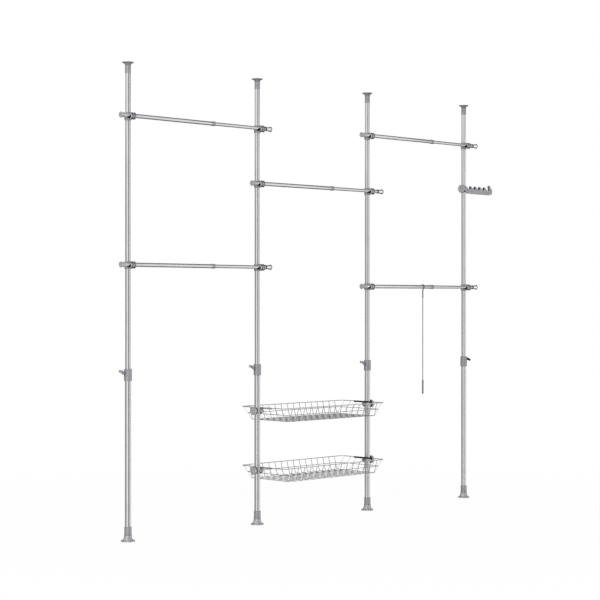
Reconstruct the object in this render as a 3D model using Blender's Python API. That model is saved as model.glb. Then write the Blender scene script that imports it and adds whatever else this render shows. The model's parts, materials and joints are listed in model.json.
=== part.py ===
"""Telescopic clothes rack: four posts braced between floor and ceiling, five hanging rails,
two wire baskets, a notched hook arm and a hanging rod. Metres, +Z up, the rails run along X.

The origin is on the floor, under the middle of the left post's foot. The front is -Y.
"""

import math

import bmesh
import bpy
from mathutils import Matrix, Vector

# Whole rack
RACK_HEIGHT = 2.45
LEFT_BAY_WIDTH = 0.910
MIDDLE_BAY_WIDTH = 0.8905
RIGHT_BAY_WIDTH = 0.886
FIT_GAP = 0.0003
TURN_GAP = 0.0005
CUT_OVERRUN = 0.004
MERGE_DISTANCE = 0.000005

POST_SIDES = 18
RAIL_SIDES = 14
SMALL_SIDES = 12
CLIP_SIDES = 8
WIRE_SIDES = 4

# Post tubes
LOWER_TUBE_RADIUS = 0.016
LOWER_TUBE_WALL = 0.0012
UPPER_TUBE_WALL = 0.0011
TELESCOPE_GAP = 0.0004
UPPER_TUBE_OVERLAP = 0.400

# Foot
FOOT_RIM_RADIUS = 0.0365
FOOT_RIM_THICKNESS = 0.0065
FOOT_BELL_RADIUS = 0.0270
FOOT_BELL_HEIGHT = 0.0320
FOOT_RIDGE_HEIGHT = 0.0030
FOOT_SLEEVE_WALL = 0.0027
FOOT_RIDGE_STEP = 0.0018
FOOT_HEIGHT = 0.0750
FOOT_FLOOR = 0.0120
FOOT_BELL_STEPS = 3

# Height collar and its wing screw
COLLAR_TOP = 0.8812
COLLAR_HEIGHT = 0.0610
COLLAR_WALL = 0.0045
COLLAR_CHAMFER = 0.0016
COLLAR_SOCKET_DEPTH = 0.0270
SCREW_DROP = 0.0155
SCREW_RADIUS = 0.0030
SCREW_NECK_RADIUS = 0.0052
SCREW_NECK_REACH = 0.0360
WING_SPREAD = 0.0170
WING_ROOT = 0.0065
WING_LENGTH = 0.0140
WING_FLARE = 0.0050
WING_THICKNESS = 0.0060
WING_TILT = math.radians(22)

# Top cap
CAP_HEIGHT = 0.0580
CAP_RIM_RADIUS = 0.0300
CAP_RIM_THICKNESS = 0.0060
CAP_CONE_HEIGHT = 0.0110
CAP_SLEEVE_LIP = 0.0006
CAP_PLUG_DEPTH = 0.0300

# Rails
LEFT_RAIL_OVERHANG = 0.0725
MIDDLE_RAIL_OVERHANG = 0.08225
RIGHT_RAIL_OVERHANG = 0.0845
RAIL_OUTER_RADIUS = 0.0110
RAIL_OUTER_WALL = 0.0010
RAIL_INNER_WALL = 0.0010
RAIL_TELESCOPE_GAP = 0.0005
OUTER_RAIL_LENGTH = 0.6400
INNER_RAIL_LENGTH = 0.6250
FERRULE_RADIUS = 0.0130
FERRULE_LENGTH = 0.0220
RAIL_HEAD_RADIUS = 0.0150
RAIL_HEAD_LENGTH = 0.0050
RAIL_HEAD_ROUND = 0.0020
RAIL_FLARE_LENGTH = 0.0070
RAIL_NECK_RADIUS = 0.0116
RAIL_NECK_LENGTH = 0.0240
RAIL_PLUG_DEPTH = 0.0120
TOP_LEFT_RAIL_DROP = 0.2760
LOW_LEFT_RAIL_HEIGHT = 1.4140
MIDDLE_RAIL_HEIGHT = 1.8720
TOP_RIGHT_RAIL_DROP = 0.2530
LOW_RIGHT_RAIL_HEIGHT = 1.3134
MIDDLE_RAIL_SHIFT = 0.0118

# Clamps that hold the rails in front of the posts
RAIL_SEAT_WALL = 0.0046
CLAMP_WALL = 0.0037
CLAMP_HEIGHT = 0.0395
CLAMP_DROP = 0.0015
BARREL_RADIUS = 0.0180
BARREL_LENGTH = 0.0360
BARREL_GROOVE_WIDTH = 0.0045
BARREL_GROOVE_DEPTH = 0.0030
BARREL_RING_WIDTH = 0.0065

# Baskets
BASKET_DEPTH = 0.3400
BASKET_HEIGHT = 0.0750
BASKET_END_SLOPE = 0.0630
BASKET_SIDE_SLOPE = 0.0210
BASKET_MESH_PITCH = 0.0489
BASKET_FLOOR_PITCH = 0.0994
BASKET_RIM_WIRE = 0.0056
BASKET_WIRE = 0.0030
BASKET_CORNER = 0.0260
BASKET_CORNER_STEPS = 2
UPPER_BASKET_HEIGHT = 0.6403
LOWER_BASKET_HEIGHT = 0.3117

# Basket brackets
BRACKET_DROP = 0.0146
BRACKET_HEIGHT = 0.0360
BRACKET_WALL = 0.0030
BAR_REACH = 0.0347
RIM_INSET = 0.0374
BAR_LENGTH = 0.1470
BAR_HEIGHT = 0.0060
BAR_DEPTH = 0.0060
SADDLE_WIDTH = 0.0400
SADDLE_THICKNESS = 0.0060
SHELF_HEIGHT = 0.0080
SHELF_WIDTH = 0.0300
KNOB_RADIUS = 0.0230
KNOB_THICKNESS = 0.0165
KNOB_ROUND = 0.0025
KNOB_NECK_RADIUS = 0.0185
KNOB_NECK_LENGTH = 0.0070
KNOB_SHANK_RADIUS = 0.0035

# Hook arm
HOOK_HEIGHT = 1.9277
DRUM_RADIUS = 0.0245
DRUM_BACK_REACH = 0.0240
DRUM_FRONT_REACH = 0.0020
DRUM_CHAMFER = 0.0025
SWIVEL_RING_WALL = 0.0039
SWIVEL_RING_RISE = 0.0150
SWIVEL_RING_DROP = 0.0200
BUSH_WALL = 0.0024
ARM_REACH = 0.2770
ARM_THICKNESS = 0.0120
ARM_BODY_DROP = 0.0220
ARM_BODY_RISE = 0.0050
TOOTH_PITCH = 0.0450
FIRST_TOOTH = 0.0600
TOOTH_COUNT = 4
TOOTH_HEIGHT = 0.0160
TOOTH_WIDTH = 0.0120
TOOTH_LEAN = 0.0030
TOOTH_SLOPE = 0.0220
END_TOOTH_HEIGHT = 0.0290
END_TOOTH_WIDTH = 0.0130
ARM_TIP_ROUND = 0.0100

# Hanging rod
ROD_SETBACK = 0.0940
ROD_RADIUS = 0.0028
ROD_CLIP_WIRE = 0.0026
ROD_CLIP_SWEEP = math.radians(255)
ROD_CLIP_STEPS = 14
ROD_FERRULE_RADIUS = 0.0046
ROD_FERRULE_LENGTH = 0.0530
ROD_GRIP_RADIUS = 0.0053
ROD_GRIP_LENGTH = 0.0855
ROD_LENGTH = 0.6485
ROD_SOCKET_DEPTH = 0.0200

# Sizes that follow from the ones above
UPPER_TUBE_RADIUS = LOWER_TUBE_RADIUS - LOWER_TUBE_WALL - TELESCOPE_GAP
RAIL_INNER_RADIUS = RAIL_OUTER_RADIUS - RAIL_OUTER_WALL - RAIL_TELESCOPE_GAP
RAIL_OFFSET = UPPER_TUBE_RADIUS + RAIL_SEAT_WALL + RAIL_OUTER_RADIUS
UPPER_TUBE_TOP = RACK_HEIGHT - CAP_HEIGHT
LOWER_TUBE_TOP = COLLAR_TOP - COLLAR_HEIGHT + COLLAR_SOCKET_DEPTH - FIT_GAP
TOP_LEFT_RAIL_HEIGHT = RACK_HEIGHT - TOP_LEFT_RAIL_DROP
TOP_RIGHT_RAIL_HEIGHT = RACK_HEIGHT - TOP_RIGHT_RAIL_DROP
RAIL_CAP_LENGTH = RAIL_HEAD_LENGTH + RAIL_FLARE_LENGTH + RAIL_NECK_LENGTH
SWIVEL_BORE = UPPER_TUBE_RADIUS + FIT_GAP + BUSH_WALL + TURN_GAP
SWIVEL_RING_RADIUS = SWIVEL_BORE + SWIVEL_RING_WALL
SCREW_HEIGHT = COLLAR_TOP - SCREW_DROP
COLLAR_RADIUS = LOWER_TUBE_RADIUS + COLLAR_WALL
BASKET_LENGTH = MIDDLE_BAY_WIDTH - 2 * RIM_INSET

POST_NAMES = ("left", "inner_left", "inner_right", "right")
POST_PLACES = (
    0.0,
    LEFT_BAY_WIDTH,
    LEFT_BAY_WIDTH + MIDDLE_BAY_WIDTH,
    LEFT_BAY_WIDTH + MIDDLE_BAY_WIDTH + RIGHT_BAY_WIDTH,
)
RAIL_OVERHANGS = {
    "left": LEFT_RAIL_OVERHANG,
    "inner_left": MIDDLE_RAIL_OVERHANG,
    "inner_right": RIGHT_RAIL_OVERHANG,
}
RAILS = (
    ("top_left_rail", "left", TOP_LEFT_RAIL_HEIGHT, 0.0),
    ("low_left_rail", "left", LOW_LEFT_RAIL_HEIGHT, 0.0),
    ("middle_rail", "inner_left", MIDDLE_RAIL_HEIGHT, MIDDLE_RAIL_SHIFT),
    ("top_right_rail", "inner_right", TOP_RIGHT_RAIL_HEIGHT, 0.0),
    ("low_right_rail", "inner_right", LOW_RIGHT_RAIL_HEIGHT, 0.0),
)

Z_TO_X = Matrix.Rotation(math.pi / 2, 4, "Y")
HALF_TURN = Matrix.Rotation(math.pi, 4, "Z")
ALONG = (1, 0, 0)
ACROSS = (0, 1, 0)
UP = (0, 0, 1)


# Mesh helpers


def mesh_of(name, bm):
    bmesh.ops.remove_doubles(bm, verts=bm.verts, dist=MERGE_DISTANCE)
    bmesh.ops.recalc_face_normals(bm, faces=bm.faces)
    mesh = bpy.data.meshes.new(name)
    bm.to_mesh(mesh)
    bm.free()
    return mesh


def turned(name, outline, sides, closed=False):
    """A body turned round Z from (radius, height) points. An open outline starts and ends on the axis."""
    bm = bmesh.new()
    verts = [bm.verts.new((radius, 0, height)) for radius, height in outline]
    edges = [bm.edges.new(pair) for pair in zip(verts, verts[1:])]
    if closed:
        edges.append(bm.edges.new((verts[-1], verts[0])))
    bmesh.ops.spin(bm, geom=verts + edges, cent=(0, 0, 0), axis=(0, 0, 1), angle=2 * math.pi, steps=sides)
    return mesh_of(name, bm)


def ring(name, outer, inner, low, high, sides):
    return turned(name, [(outer, high), (outer, low), (inner, low), (inner, high)], sides, closed=True)


def rod(name, radius, low, high, sides):
    return turned(name, [(0, high), (radius, high), (radius, low), (0, low)], sides)


def block(name, low, high):
    bm = bmesh.new()
    bmesh.ops.create_cube(bm, size=1)
    low = Vector(low)
    high = Vector(high)
    for vert in bm.verts:
        vert.co = Vector([low[i] + (vert.co[i] + 0.5) * (high[i] - low[i]) for i in range(3)])
    return mesh_of(name, bm)


def plate(name, outline, thickness, matrix=None):
    """A flat plate with an (x, y) outline, centred on Z = 0, then turned by the matrix."""
    bm = bmesh.new()
    low = [bm.verts.new((x, y, -thickness / 2)) for x, y in outline]
    face = bm.faces.new(low)
    made = bmesh.ops.extrude_face_region(bm, geom=[face])["geom"]
    raised = [item for item in made if isinstance(item, bmesh.types.BMVert)]
    bmesh.ops.translate(bm, verts=raised, vec=(0, 0, thickness))
    if matrix is not None:
        bmesh.ops.transform(bm, matrix=matrix, verts=bm.verts)
    return mesh_of(name, bm)


def wire(name, points, radius, sides, across, closed=False):
    """A wire along points that lie in one plane, mitred at each, with its flats across that plane."""
    bm = bmesh.new()
    points = [Vector(point) for point in points]
    across = Vector(across)
    count = len(points)
    sections = []
    for i, point in enumerate(points):
        incoming = (point - points[i - 1]).normalized() if closed or i > 0 else None
        outgoing = (points[(i + 1) % count] - point).normalized() if closed or i < count - 1 else None
        along = ((incoming or outgoing) + (outgoing or incoming)).normalized()
        mitre = 1 / along.dot(outgoing or incoming)
        inwards = along.cross(across) * mitre
        section = []
        for k in range(sides):
            angle = 2 * math.pi * (k + 0.5) / sides
            reach = radius / math.cos(math.pi / sides)
            offset = across * math.cos(angle) * reach + inwards * math.sin(angle) * reach
            section.append(bm.verts.new(point + offset))
        sections.append(section)
    pairs = list(zip(sections, sections[1:]))
    if closed:
        pairs.append((sections[-1], sections[0]))
    for first, second in pairs:
        for k in range(sides):
            after = (k + 1) % sides
            bm.faces.new((first[k], first[after], second[after], second[k]))
    if not closed:
        bm.faces.new(list(reversed(sections[0])))
        bm.faces.new(sections[-1])
    return mesh_of(name, bm)


def moved(mesh, matrix):
    copy = mesh.copy()
    copy.transform(matrix)
    return copy


def combined(name, first, adds=(), cuts=(), crossing=False):
    """One mesh from a first one, with the adds joined to it and the cuts taken out."""
    holder = bpy.data.objects.new(name + "_making", first)
    bpy.context.scene.collection.objects.link(holder)
    tools = []
    for operation, meshes in (("UNION", adds), ("DIFFERENCE", cuts)):
        for mesh in meshes:
            tool = bpy.data.objects.new(name + "_tool", mesh)
            bpy.context.scene.collection.objects.link(tool)
            tools.append(tool)
            step = holder.modifiers.new(operation.lower(), "BOOLEAN")
            step.operation = operation
            step.object = tool
            step.use_self = crossing
    graph = bpy.context.evaluated_depsgraph_get()
    mesh = bpy.data.meshes.new_from_object(holder.evaluated_get(graph))
    mesh.name = name
    for item in [holder] + tools:
        bpy.data.objects.remove(item)
    return mesh


def gathered(name, meshes):
    """Several closed meshes in one, which a union then makes into one body."""
    bm = bmesh.new()
    for mesh in meshes:
        bm.from_mesh(mesh)
    mesh = bpy.data.meshes.new(name)
    bm.to_mesh(mesh)
    bm.free()
    return mesh


# Materials


def material(name, colour, roughness, metallic):
    made = bpy.data.materials.new(name)
    made.use_nodes = True
    shader = made.node_tree.nodes["Principled BSDF"]
    shader.inputs["Base Color"].default_value = (*colour, 1)
    shader.inputs["Roughness"].default_value = roughness
    shader.inputs["Metallic"].default_value = metallic
    made.diffuse_color = (*colour, 1)
    return made


def materials():
    return {
        "tube": material("satin_silver_tube", (0.56, 0.56, 0.58), 0.34, 0.9),
        "plastic": material("grey_plastic", (0.27, 0.27, 0.285), 0.48, 0.0),
        "pale": material("pale_grey_plastic", (0.38, 0.38, 0.40), 0.46, 0.0),
        "wire": material("silver_wire", (0.50, 0.50, 0.52), 0.38, 0.8),
        "dark": material("dark_grey_plastic", (0.10, 0.10, 0.11), 0.45, 0.0),
    }


# Placing


def empty(name, place, parent=None):
    made = bpy.data.objects.new(name, None)
    made.empty_display_size = LOWER_TUBE_RADIUS
    bpy.context.scene.collection.objects.link(made)
    made.location = Vector(place) - (Vector(parent["place"]) if parent else Vector((0, 0, 0)))
    made["place"] = tuple(place)
    made.parent = parent
    return made


def node(name, mesh, look, parent, place, turn=None):
    """One piece: an object with its own name, placed in the world under its body's empty."""
    made = bpy.data.objects.new(name, mesh)
    bpy.context.scene.collection.objects.link(made)
    made.parent = parent
    made.location = Vector(place) - Vector(parent["place"])
    if turn is not None:
        made.rotation_euler = turn.to_euler()
    if not mesh.materials:
        mesh.materials.append(look)
    mesh.shade_smooth()
    mesh.set_sharp_from_angle(angle=math.radians(35))
    return made


# Post pieces


def foot_mesh():
    sleeve = LOWER_TUBE_RADIUS + FOOT_SLEEVE_WALL
    ridge = sleeve + FOOT_RIDGE_STEP
    bell = []
    for i in range(FOOT_BELL_STEPS + 1):
        share = i / FOOT_BELL_STEPS
        radius = ridge + (FOOT_BELL_RADIUS - ridge) * share**2
        height = FOOT_BELL_HEIGHT + (FOOT_RIM_THICKNESS - FOOT_BELL_HEIGHT) * share
        bell.append((radius, height))
    outline = [
        (0, FOOT_FLOOR),
        (LOWER_TUBE_RADIUS + FIT_GAP, FOOT_FLOOR),
        (LOWER_TUBE_RADIUS + FIT_GAP, FOOT_HEIGHT),
        (sleeve, FOOT_HEIGHT),
        (sleeve, FOOT_BELL_HEIGHT + FOOT_RIDGE_HEIGHT),
        (ridge, FOOT_BELL_HEIGHT + FOOT_RIDGE_HEIGHT),
        *bell,
        (FOOT_RIM_RADIUS, FOOT_RIM_THICKNESS),
        (FOOT_RIM_RADIUS, 0),
        (0, 0),
    ]
    return turned("foot", outline, POST_SIDES)


def lower_tube_mesh():
    inner = LOWER_TUBE_RADIUS - LOWER_TUBE_WALL
    return ring("lower_tube", LOWER_TUBE_RADIUS, inner, FOOT_FLOOR + FIT_GAP, LOWER_TUBE_TOP, POST_SIDES)


def upper_tube_mesh():
    inner = UPPER_TUBE_RADIUS - UPPER_TUBE_WALL
    low = LOWER_TUBE_TOP - UPPER_TUBE_OVERLAP
    return ring("upper_tube", UPPER_TUBE_RADIUS, inner, low, UPPER_TUBE_TOP, POST_SIDES)


def collar_mesh():
    low = COLLAR_TOP - COLLAR_HEIGHT
    stop = low + COLLAR_SOCKET_DEPTH
    wide = LOWER_TUBE_RADIUS + FIT_GAP
    narrow = UPPER_TUBE_RADIUS + FIT_GAP
    outline = [
        (narrow, COLLAR_TOP),
        (COLLAR_RADIUS - COLLAR_CHAMFER, COLLAR_TOP),
        (COLLAR_RADIUS, COLLAR_TOP - COLLAR_CHAMFER),
        (COLLAR_RADIUS, low + COLLAR_CHAMFER),
        (COLLAR_RADIUS - COLLAR_CHAMFER, low),
        (wide, low),
        (wide, stop),
        (narrow, stop),
    ]
    body = turned("collar_body", outline, POST_SIDES, closed=True)
    hole = rod("screw_hole", SCREW_RADIUS + TURN_GAP, 0, COLLAR_RADIUS + CUT_OVERRUN, SMALL_SIDES)
    hole = moved(hole, Matrix.Translation((0, 0, SCREW_HEIGHT)) @ Z_TO_X)
    return combined("collar", body, cuts=[hole])


def wing_screw_mesh():
    """A wing screw along +X from the post's axis. Its wings lie level before it is turned to its tilt."""
    tip = UPPER_TUBE_RADIUS + FIT_GAP
    neck = COLLAR_RADIUS + TURN_GAP
    shank = turned(
        "screw_shank",
        [
            (0, SCREW_NECK_REACH),
            (SCREW_NECK_RADIUS, SCREW_NECK_REACH),
            (SCREW_NECK_RADIUS, neck),
            (SCREW_RADIUS, neck),
            (SCREW_RADIUS, tip),
            (0, tip),
        ],
        SMALL_SIDES,
    )
    shank = moved(shank, Z_TO_X)
    base = SCREW_NECK_REACH - SCREW_NECK_RADIUS
    end = base + WING_LENGTH
    half = [
        (base, WING_ROOT),
        (base + WING_FLARE, WING_SPREAD - WING_FLARE),
        (end - WING_FLARE, WING_SPREAD),
        (end, WING_SPREAD - WING_FLARE / 2),
        (end - WING_FLARE / 2, WING_ROOT),
    ]
    outline = half + [(x, -y) for x, y in reversed(half)]
    wings = plate("screw_wings", outline, WING_THICKNESS)
    return combined("wing_screw", shank, adds=[wings])


def top_cap_mesh():
    sleeve = UPPER_TUBE_RADIUS + CAP_SLEEVE_LIP
    plug = UPPER_TUBE_RADIUS - UPPER_TUBE_WALL - FIT_GAP
    low = UPPER_TUBE_TOP + FIT_GAP
    rim = RACK_HEIGHT - CAP_RIM_THICKNESS
    outline = [
        (0, RACK_HEIGHT),
        (CAP_RIM_RADIUS, RACK_HEIGHT),
        (CAP_RIM_RADIUS, rim),
        (CAP_RIM_RADIUS - CAP_RIM_THICKNESS, rim),
        (sleeve, rim - CAP_CONE_HEIGHT),
        (sleeve, low),
        (plug, low),
        (plug, low - CAP_PLUG_DEPTH),
        (0, low - CAP_PLUG_DEPTH),
    ]
    return turned("top_cap", outline, POST_SIDES)


# Rail pieces, made along Z with the left end at 0, then laid along X


def rail_cap(inwards):
    """The head, the flare and the neck of an end cap, from the end of the rail inwards."""
    return [
        (0, 0),
        (RAIL_HEAD_RADIUS - RAIL_HEAD_ROUND, 0),
        (RAIL_HEAD_RADIUS, inwards * RAIL_HEAD_ROUND),
        (RAIL_HEAD_RADIUS, inwards * RAIL_HEAD_LENGTH),
        (RAIL_NECK_RADIUS, inwards * (RAIL_HEAD_LENGTH + RAIL_FLARE_LENGTH)),
        (RAIL_NECK_RADIUS, inwards * RAIL_CAP_LENGTH),
    ]


def outer_rail_mesh():
    """The thick tube with its end cap on the left and the ferrule at its mouth."""
    start = OUTER_RAIL_LENGTH - FERRULE_LENGTH
    plug = RAIL_CAP_LENGTH + RAIL_PLUG_DEPTH
    outline = [
        *rail_cap(1),
        (RAIL_OUTER_RADIUS, RAIL_CAP_LENGTH),
        (RAIL_OUTER_RADIUS, start),
        (FERRULE_RADIUS, start),
        (FERRULE_RADIUS, OUTER_RAIL_LENGTH),
        (RAIL_OUTER_RADIUS - RAIL_OUTER_WALL, OUTER_RAIL_LENGTH),
        (RAIL_OUTER_RADIUS - RAIL_OUTER_WALL, plug),
        (0, plug),
    ]
    return moved(turned("outer_rail", outline, RAIL_SIDES), Z_TO_X)


def inner_rail_mesh():
    """The thin tube with its end cap on the right, where its own 0 is."""
    plug = RAIL_CAP_LENGTH + RAIL_PLUG_DEPTH
    outline = [
        *rail_cap(-1),
        (RAIL_INNER_RADIUS, -RAIL_CAP_LENGTH),
        (RAIL_INNER_RADIUS, -INNER_RAIL_LENGTH),
        (RAIL_INNER_RADIUS - RAIL_INNER_WALL, -INNER_RAIL_LENGTH),
        (RAIL_INNER_RADIUS - RAIL_INNER_WALL, -plug),
        (0, -plug),
    ]
    return moved(turned("inner_rail", outline, RAIL_SIDES), Z_TO_X)


def clamp_mesh(name, rail_radius):
    """A collar round the post with a grooved barrel round the rail in front of it."""
    centre = -CLAMP_DROP
    collar = rod(
        "clamp_collar",
        UPPER_TUBE_RADIUS + FIT_GAP + CLAMP_WALL,
        centre - CLAMP_HEIGHT / 2,
        centre + CLAMP_HEIGHT / 2,
        POST_SIDES,
    )
    half = BARREL_LENGTH / 2
    groove = BARREL_RING_WIDTH / 2 + BARREL_GROOVE_WIDTH / 2
    floor = BARREL_RADIUS - BARREL_GROOVE_DEPTH
    outline = [(0, half), (BARREL_RADIUS, half)]
    for middle in (groove, -groove):
        outline += [
            (BARREL_RADIUS, middle + BARREL_GROOVE_WIDTH / 2),
            (floor, middle),
            (BARREL_RADIUS, middle - BARREL_GROOVE_WIDTH / 2),
        ]
    outline += [(BARREL_RADIUS, -half), (0, -half)]
    barrel = turned("clamp_barrel", outline, RAIL_SIDES)
    in_front = Matrix.Translation((0, -RAIL_OFFSET, 0))
    post = rod(
        "post_bore",
        UPPER_TUBE_RADIUS + FIT_GAP,
        centre - CLAMP_HEIGHT / 2 - CUT_OVERRUN,
        centre + CLAMP_HEIGHT / 2 + CUT_OVERRUN,
        POST_SIDES,
    )
    rail = rod("rail_bore", rail_radius + FIT_GAP, -half - CUT_OVERRUN, half + CUT_OVERRUN, RAIL_SIDES)
    return combined(
        name,
        collar,
        adds=[moved(barrel, in_front @ Z_TO_X)],
        cuts=[post, moved(rail, in_front @ Z_TO_X)],
    )


# Basket pieces, with 0 at the middle of the rim


def rounded_rectangle(length, depth, corner, height):
    points = []
    for quarter, (sx, sy) in enumerate(((1, 1), (-1, 1), (-1, -1), (1, -1))):
        for step in range(BASKET_CORNER_STEPS + 1):
            angle = math.pi / 2 * (quarter + step / BASKET_CORNER_STEPS)
            points.append(
                (
                    sx * (length / 2 - corner) + corner * math.cos(angle),
                    sy * (depth / 2 - corner) + corner * math.sin(angle),
                    height,
                )
            )
    return points


def places_at(pitch, reach):
    """Places a pitch apart and symmetrical about 0, as many as lie within the reach."""
    count = int(reach / pitch + 0.5 - 1e-6) if pitch <= reach else 1
    return [i * pitch for i in range(-count, count + 1) if abs(i) * pitch <= reach]


def basket_mesh():
    """The rim, a wire round the middle height, and the U-shaped wires across and along."""
    half_length = BASKET_LENGTH / 2
    half_depth = BASKET_DEPTH / 2
    floor_length = half_length - BASKET_END_SLOPE
    floor_depth = half_depth - BASKET_SIDE_SLOPE
    floor = -BASKET_HEIGHT + BASKET_WIRE / 2
    radius = BASKET_WIRE / 2
    rim = wire(
        "basket_rim",
        rounded_rectangle(BASKET_LENGTH, BASKET_DEPTH, BASKET_CORNER, 0),
        BASKET_RIM_WIRE / 2,
        WIRE_SIDES,
        UP,
        closed=True,
    )
    middle = wire(
        "basket_middle",
        rounded_rectangle(
            BASKET_LENGTH - BASKET_END_SLOPE,
            BASKET_DEPTH - BASKET_SIDE_SLOPE,
            BASKET_CORNER,
            floor / 2,
        ),
        radius,
        WIRE_SIDES,
        UP,
        closed=True,
    )
    wires = [middle]
    for x in places_at(BASKET_MESH_PITCH, floor_length):
        points = [(x, -half_depth, 0), (x, -floor_depth, floor), (x, floor_depth, floor), (x, half_depth, 0)]
        wires.append(wire("basket_cross", points, radius, WIRE_SIDES, ALONG))
    low = floor - radius * 0.7
    for y in places_at(BASKET_FLOOR_PITCH, floor_depth):
        points = [(-half_length, y, 0), (-floor_length, y, low), (floor_length, y, low), (half_length, y, 0)]
        wires.append(wire("basket_along", points, radius, WIRE_SIDES, ACROSS))
    return combined("basket", rim, adds=[gathered("basket_wires", wires)], crossing=True)


def bracket_mesh():
    """A basket bracket with the basket on its +X side. Its 0 is on the post's axis at rim height."""
    middle = -BRACKET_DROP
    low = middle - BRACKET_HEIGHT / 2
    high = middle + BRACKET_HEIGHT / 2
    bore = LOWER_TUBE_RADIUS + FIT_GAP
    outer = bore + BRACKET_WALL
    collar = rod("bracket_collar", outer, low, high, POST_SIDES)
    saddle = block("saddle", (0, -SADDLE_WIDTH / 2, low), (bore + SADDLE_THICKNESS, SADDLE_WIDTH / 2, high))
    bar_top = -BASKET_RIM_WIRE / 2 - FIT_GAP
    bar = block(
        "cross_bar",
        (BAR_REACH - BAR_DEPTH / 2, -BAR_LENGTH / 2, bar_top - BAR_HEIGHT),
        (BAR_REACH + BAR_DEPTH / 2, BAR_LENGTH / 2, bar_top),
    )
    shelf = block(
        "bar_shelf",
        (bore, -SHELF_WIDTH / 2, bar_top - SHELF_HEIGHT),
        (BAR_REACH, SHELF_WIDTH / 2, bar_top - FIT_GAP),
    )
    post = rod("bracket_bore", bore, low - CUT_OVERRUN, high + CUT_OVERRUN, POST_SIDES)
    hole = rod("knob_hole", KNOB_SHANK_RADIUS + TURN_GAP, 0, outer + CUT_OVERRUN, SMALL_SIDES)
    hole = moved(hole, HALF_TURN @ Matrix.Translation((0, 0, middle)) @ Z_TO_X)
    return combined("bracket", collar, adds=[saddle, bar, shelf], cuts=[post, hole])


def knob_mesh():
    """A round clamping knob with a neck along +X, its shank's tip just short of the tube."""
    face = LOWER_TUBE_RADIUS + FIT_GAP + BRACKET_WALL + FIT_GAP
    shoulder = face + KNOB_NECK_LENGTH
    outline = [
        (0, face + KNOB_THICKNESS),
        (KNOB_RADIUS - KNOB_ROUND, face + KNOB_THICKNESS),
        (KNOB_RADIUS, face + KNOB_THICKNESS - KNOB_ROUND),
        (KNOB_RADIUS, shoulder + KNOB_ROUND),
        (KNOB_RADIUS - KNOB_ROUND, shoulder),
        (KNOB_NECK_RADIUS, shoulder),
        (KNOB_NECK_RADIUS, face),
        (KNOB_SHANK_RADIUS, face),
        (KNOB_SHANK_RADIUS, LOWER_TUBE_RADIUS + FIT_GAP),
        (0, LOWER_TUBE_RADIUS + FIT_GAP),
    ]
    return moved(turned("knob", outline, POST_SIDES), Z_TO_X)


# Hook arm pieces


def bush_mesh():
    bore = UPPER_TUBE_RADIUS + FIT_GAP
    return ring("bush", bore + BUSH_WALL, bore, -SWIVEL_RING_DROP, SWIVEL_RING_RISE, POST_SIDES)


def drum_mesh():
    """The swivel ring round the post, with a drum along X behind it."""
    outline = [
        (0, DRUM_FRONT_REACH),
        (DRUM_RADIUS - DRUM_CHAMFER, DRUM_FRONT_REACH),
        (DRUM_RADIUS, DRUM_FRONT_REACH - DRUM_CHAMFER),
        (DRUM_RADIUS, -DRUM_BACK_REACH + DRUM_CHAMFER),
        (DRUM_RADIUS - DRUM_CHAMFER, -DRUM_BACK_REACH),
        (0, -DRUM_BACK_REACH),
    ]
    drum = moved(turned("drum_body", outline, POST_SIDES), Z_TO_X)
    swivel = rod("swivel_ring", SWIVEL_RING_RADIUS, -SWIVEL_RING_DROP, SWIVEL_RING_RISE, POST_SIDES)
    reach = DRUM_RADIUS + CUT_OVERRUN
    bore = rod("drum_bore", SWIVEL_BORE, -reach, reach, POST_SIDES)
    return combined("drum", drum, adds=[swivel], cuts=[bore])


def arm_outline():
    """The arm's side view, (x, z), with its teeth leaning back towards the post."""
    root = SWIVEL_RING_RADIUS + FIT_GAP
    valley = ARM_BODY_RISE
    points = [(root, -ARM_BODY_DROP), (root, valley + TOOTH_HEIGHT / 2), (FIRST_TOOTH - TOOTH_WIDTH, valley)]
    for i in range(TOOTH_COUNT):
        x = FIRST_TOOTH + i * TOOTH_PITCH
        top = valley + TOOTH_HEIGHT
        points += [
            (x, valley),
            (x - TOOTH_LEAN, top - TOOTH_LEAN),
            (x, top),
            (x + TOOTH_WIDTH - TOOTH_LEAN, top),
            (x + TOOTH_WIDTH, top - TOOTH_LEAN),
            (x + TOOTH_WIDTH + TOOTH_SLOPE, valley),
        ]
    end = FIRST_TOOTH + TOOTH_COUNT * TOOTH_PITCH
    top = valley + END_TOOTH_HEIGHT
    points += [
        (end, valley),
        (end, top - END_TOOTH_WIDTH),
        (end - TOOTH_LEAN, top - END_TOOTH_WIDTH / 2),
        (end, top),
        (end + END_TOOTH_WIDTH - TOOTH_LEAN, top),
        (end + END_TOOTH_WIDTH, top - END_TOOTH_WIDTH / 2),
        (ARM_REACH - TOOTH_LEAN, valley + TOOTH_LEAN),
        (ARM_REACH, valley - ARM_TIP_ROUND / 2),
        (ARM_REACH - TOOTH_LEAN, -ARM_BODY_DROP + TOOTH_LEAN),
        (ARM_REACH - ARM_TIP_ROUND, -ARM_BODY_DROP),
    ]
    return points


def arm_mesh():
    upright = Matrix.Rotation(math.pi / 2, 4, "X")
    return plate("hook_arm", arm_outline(), ARM_THICKNESS, upright)


# Hanging rod pieces, with 0 on the rail's axis


def clip_radius():
    return RAIL_OUTER_RADIUS + 2 * FIT_GAP + ROD_CLIP_WIRE


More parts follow.
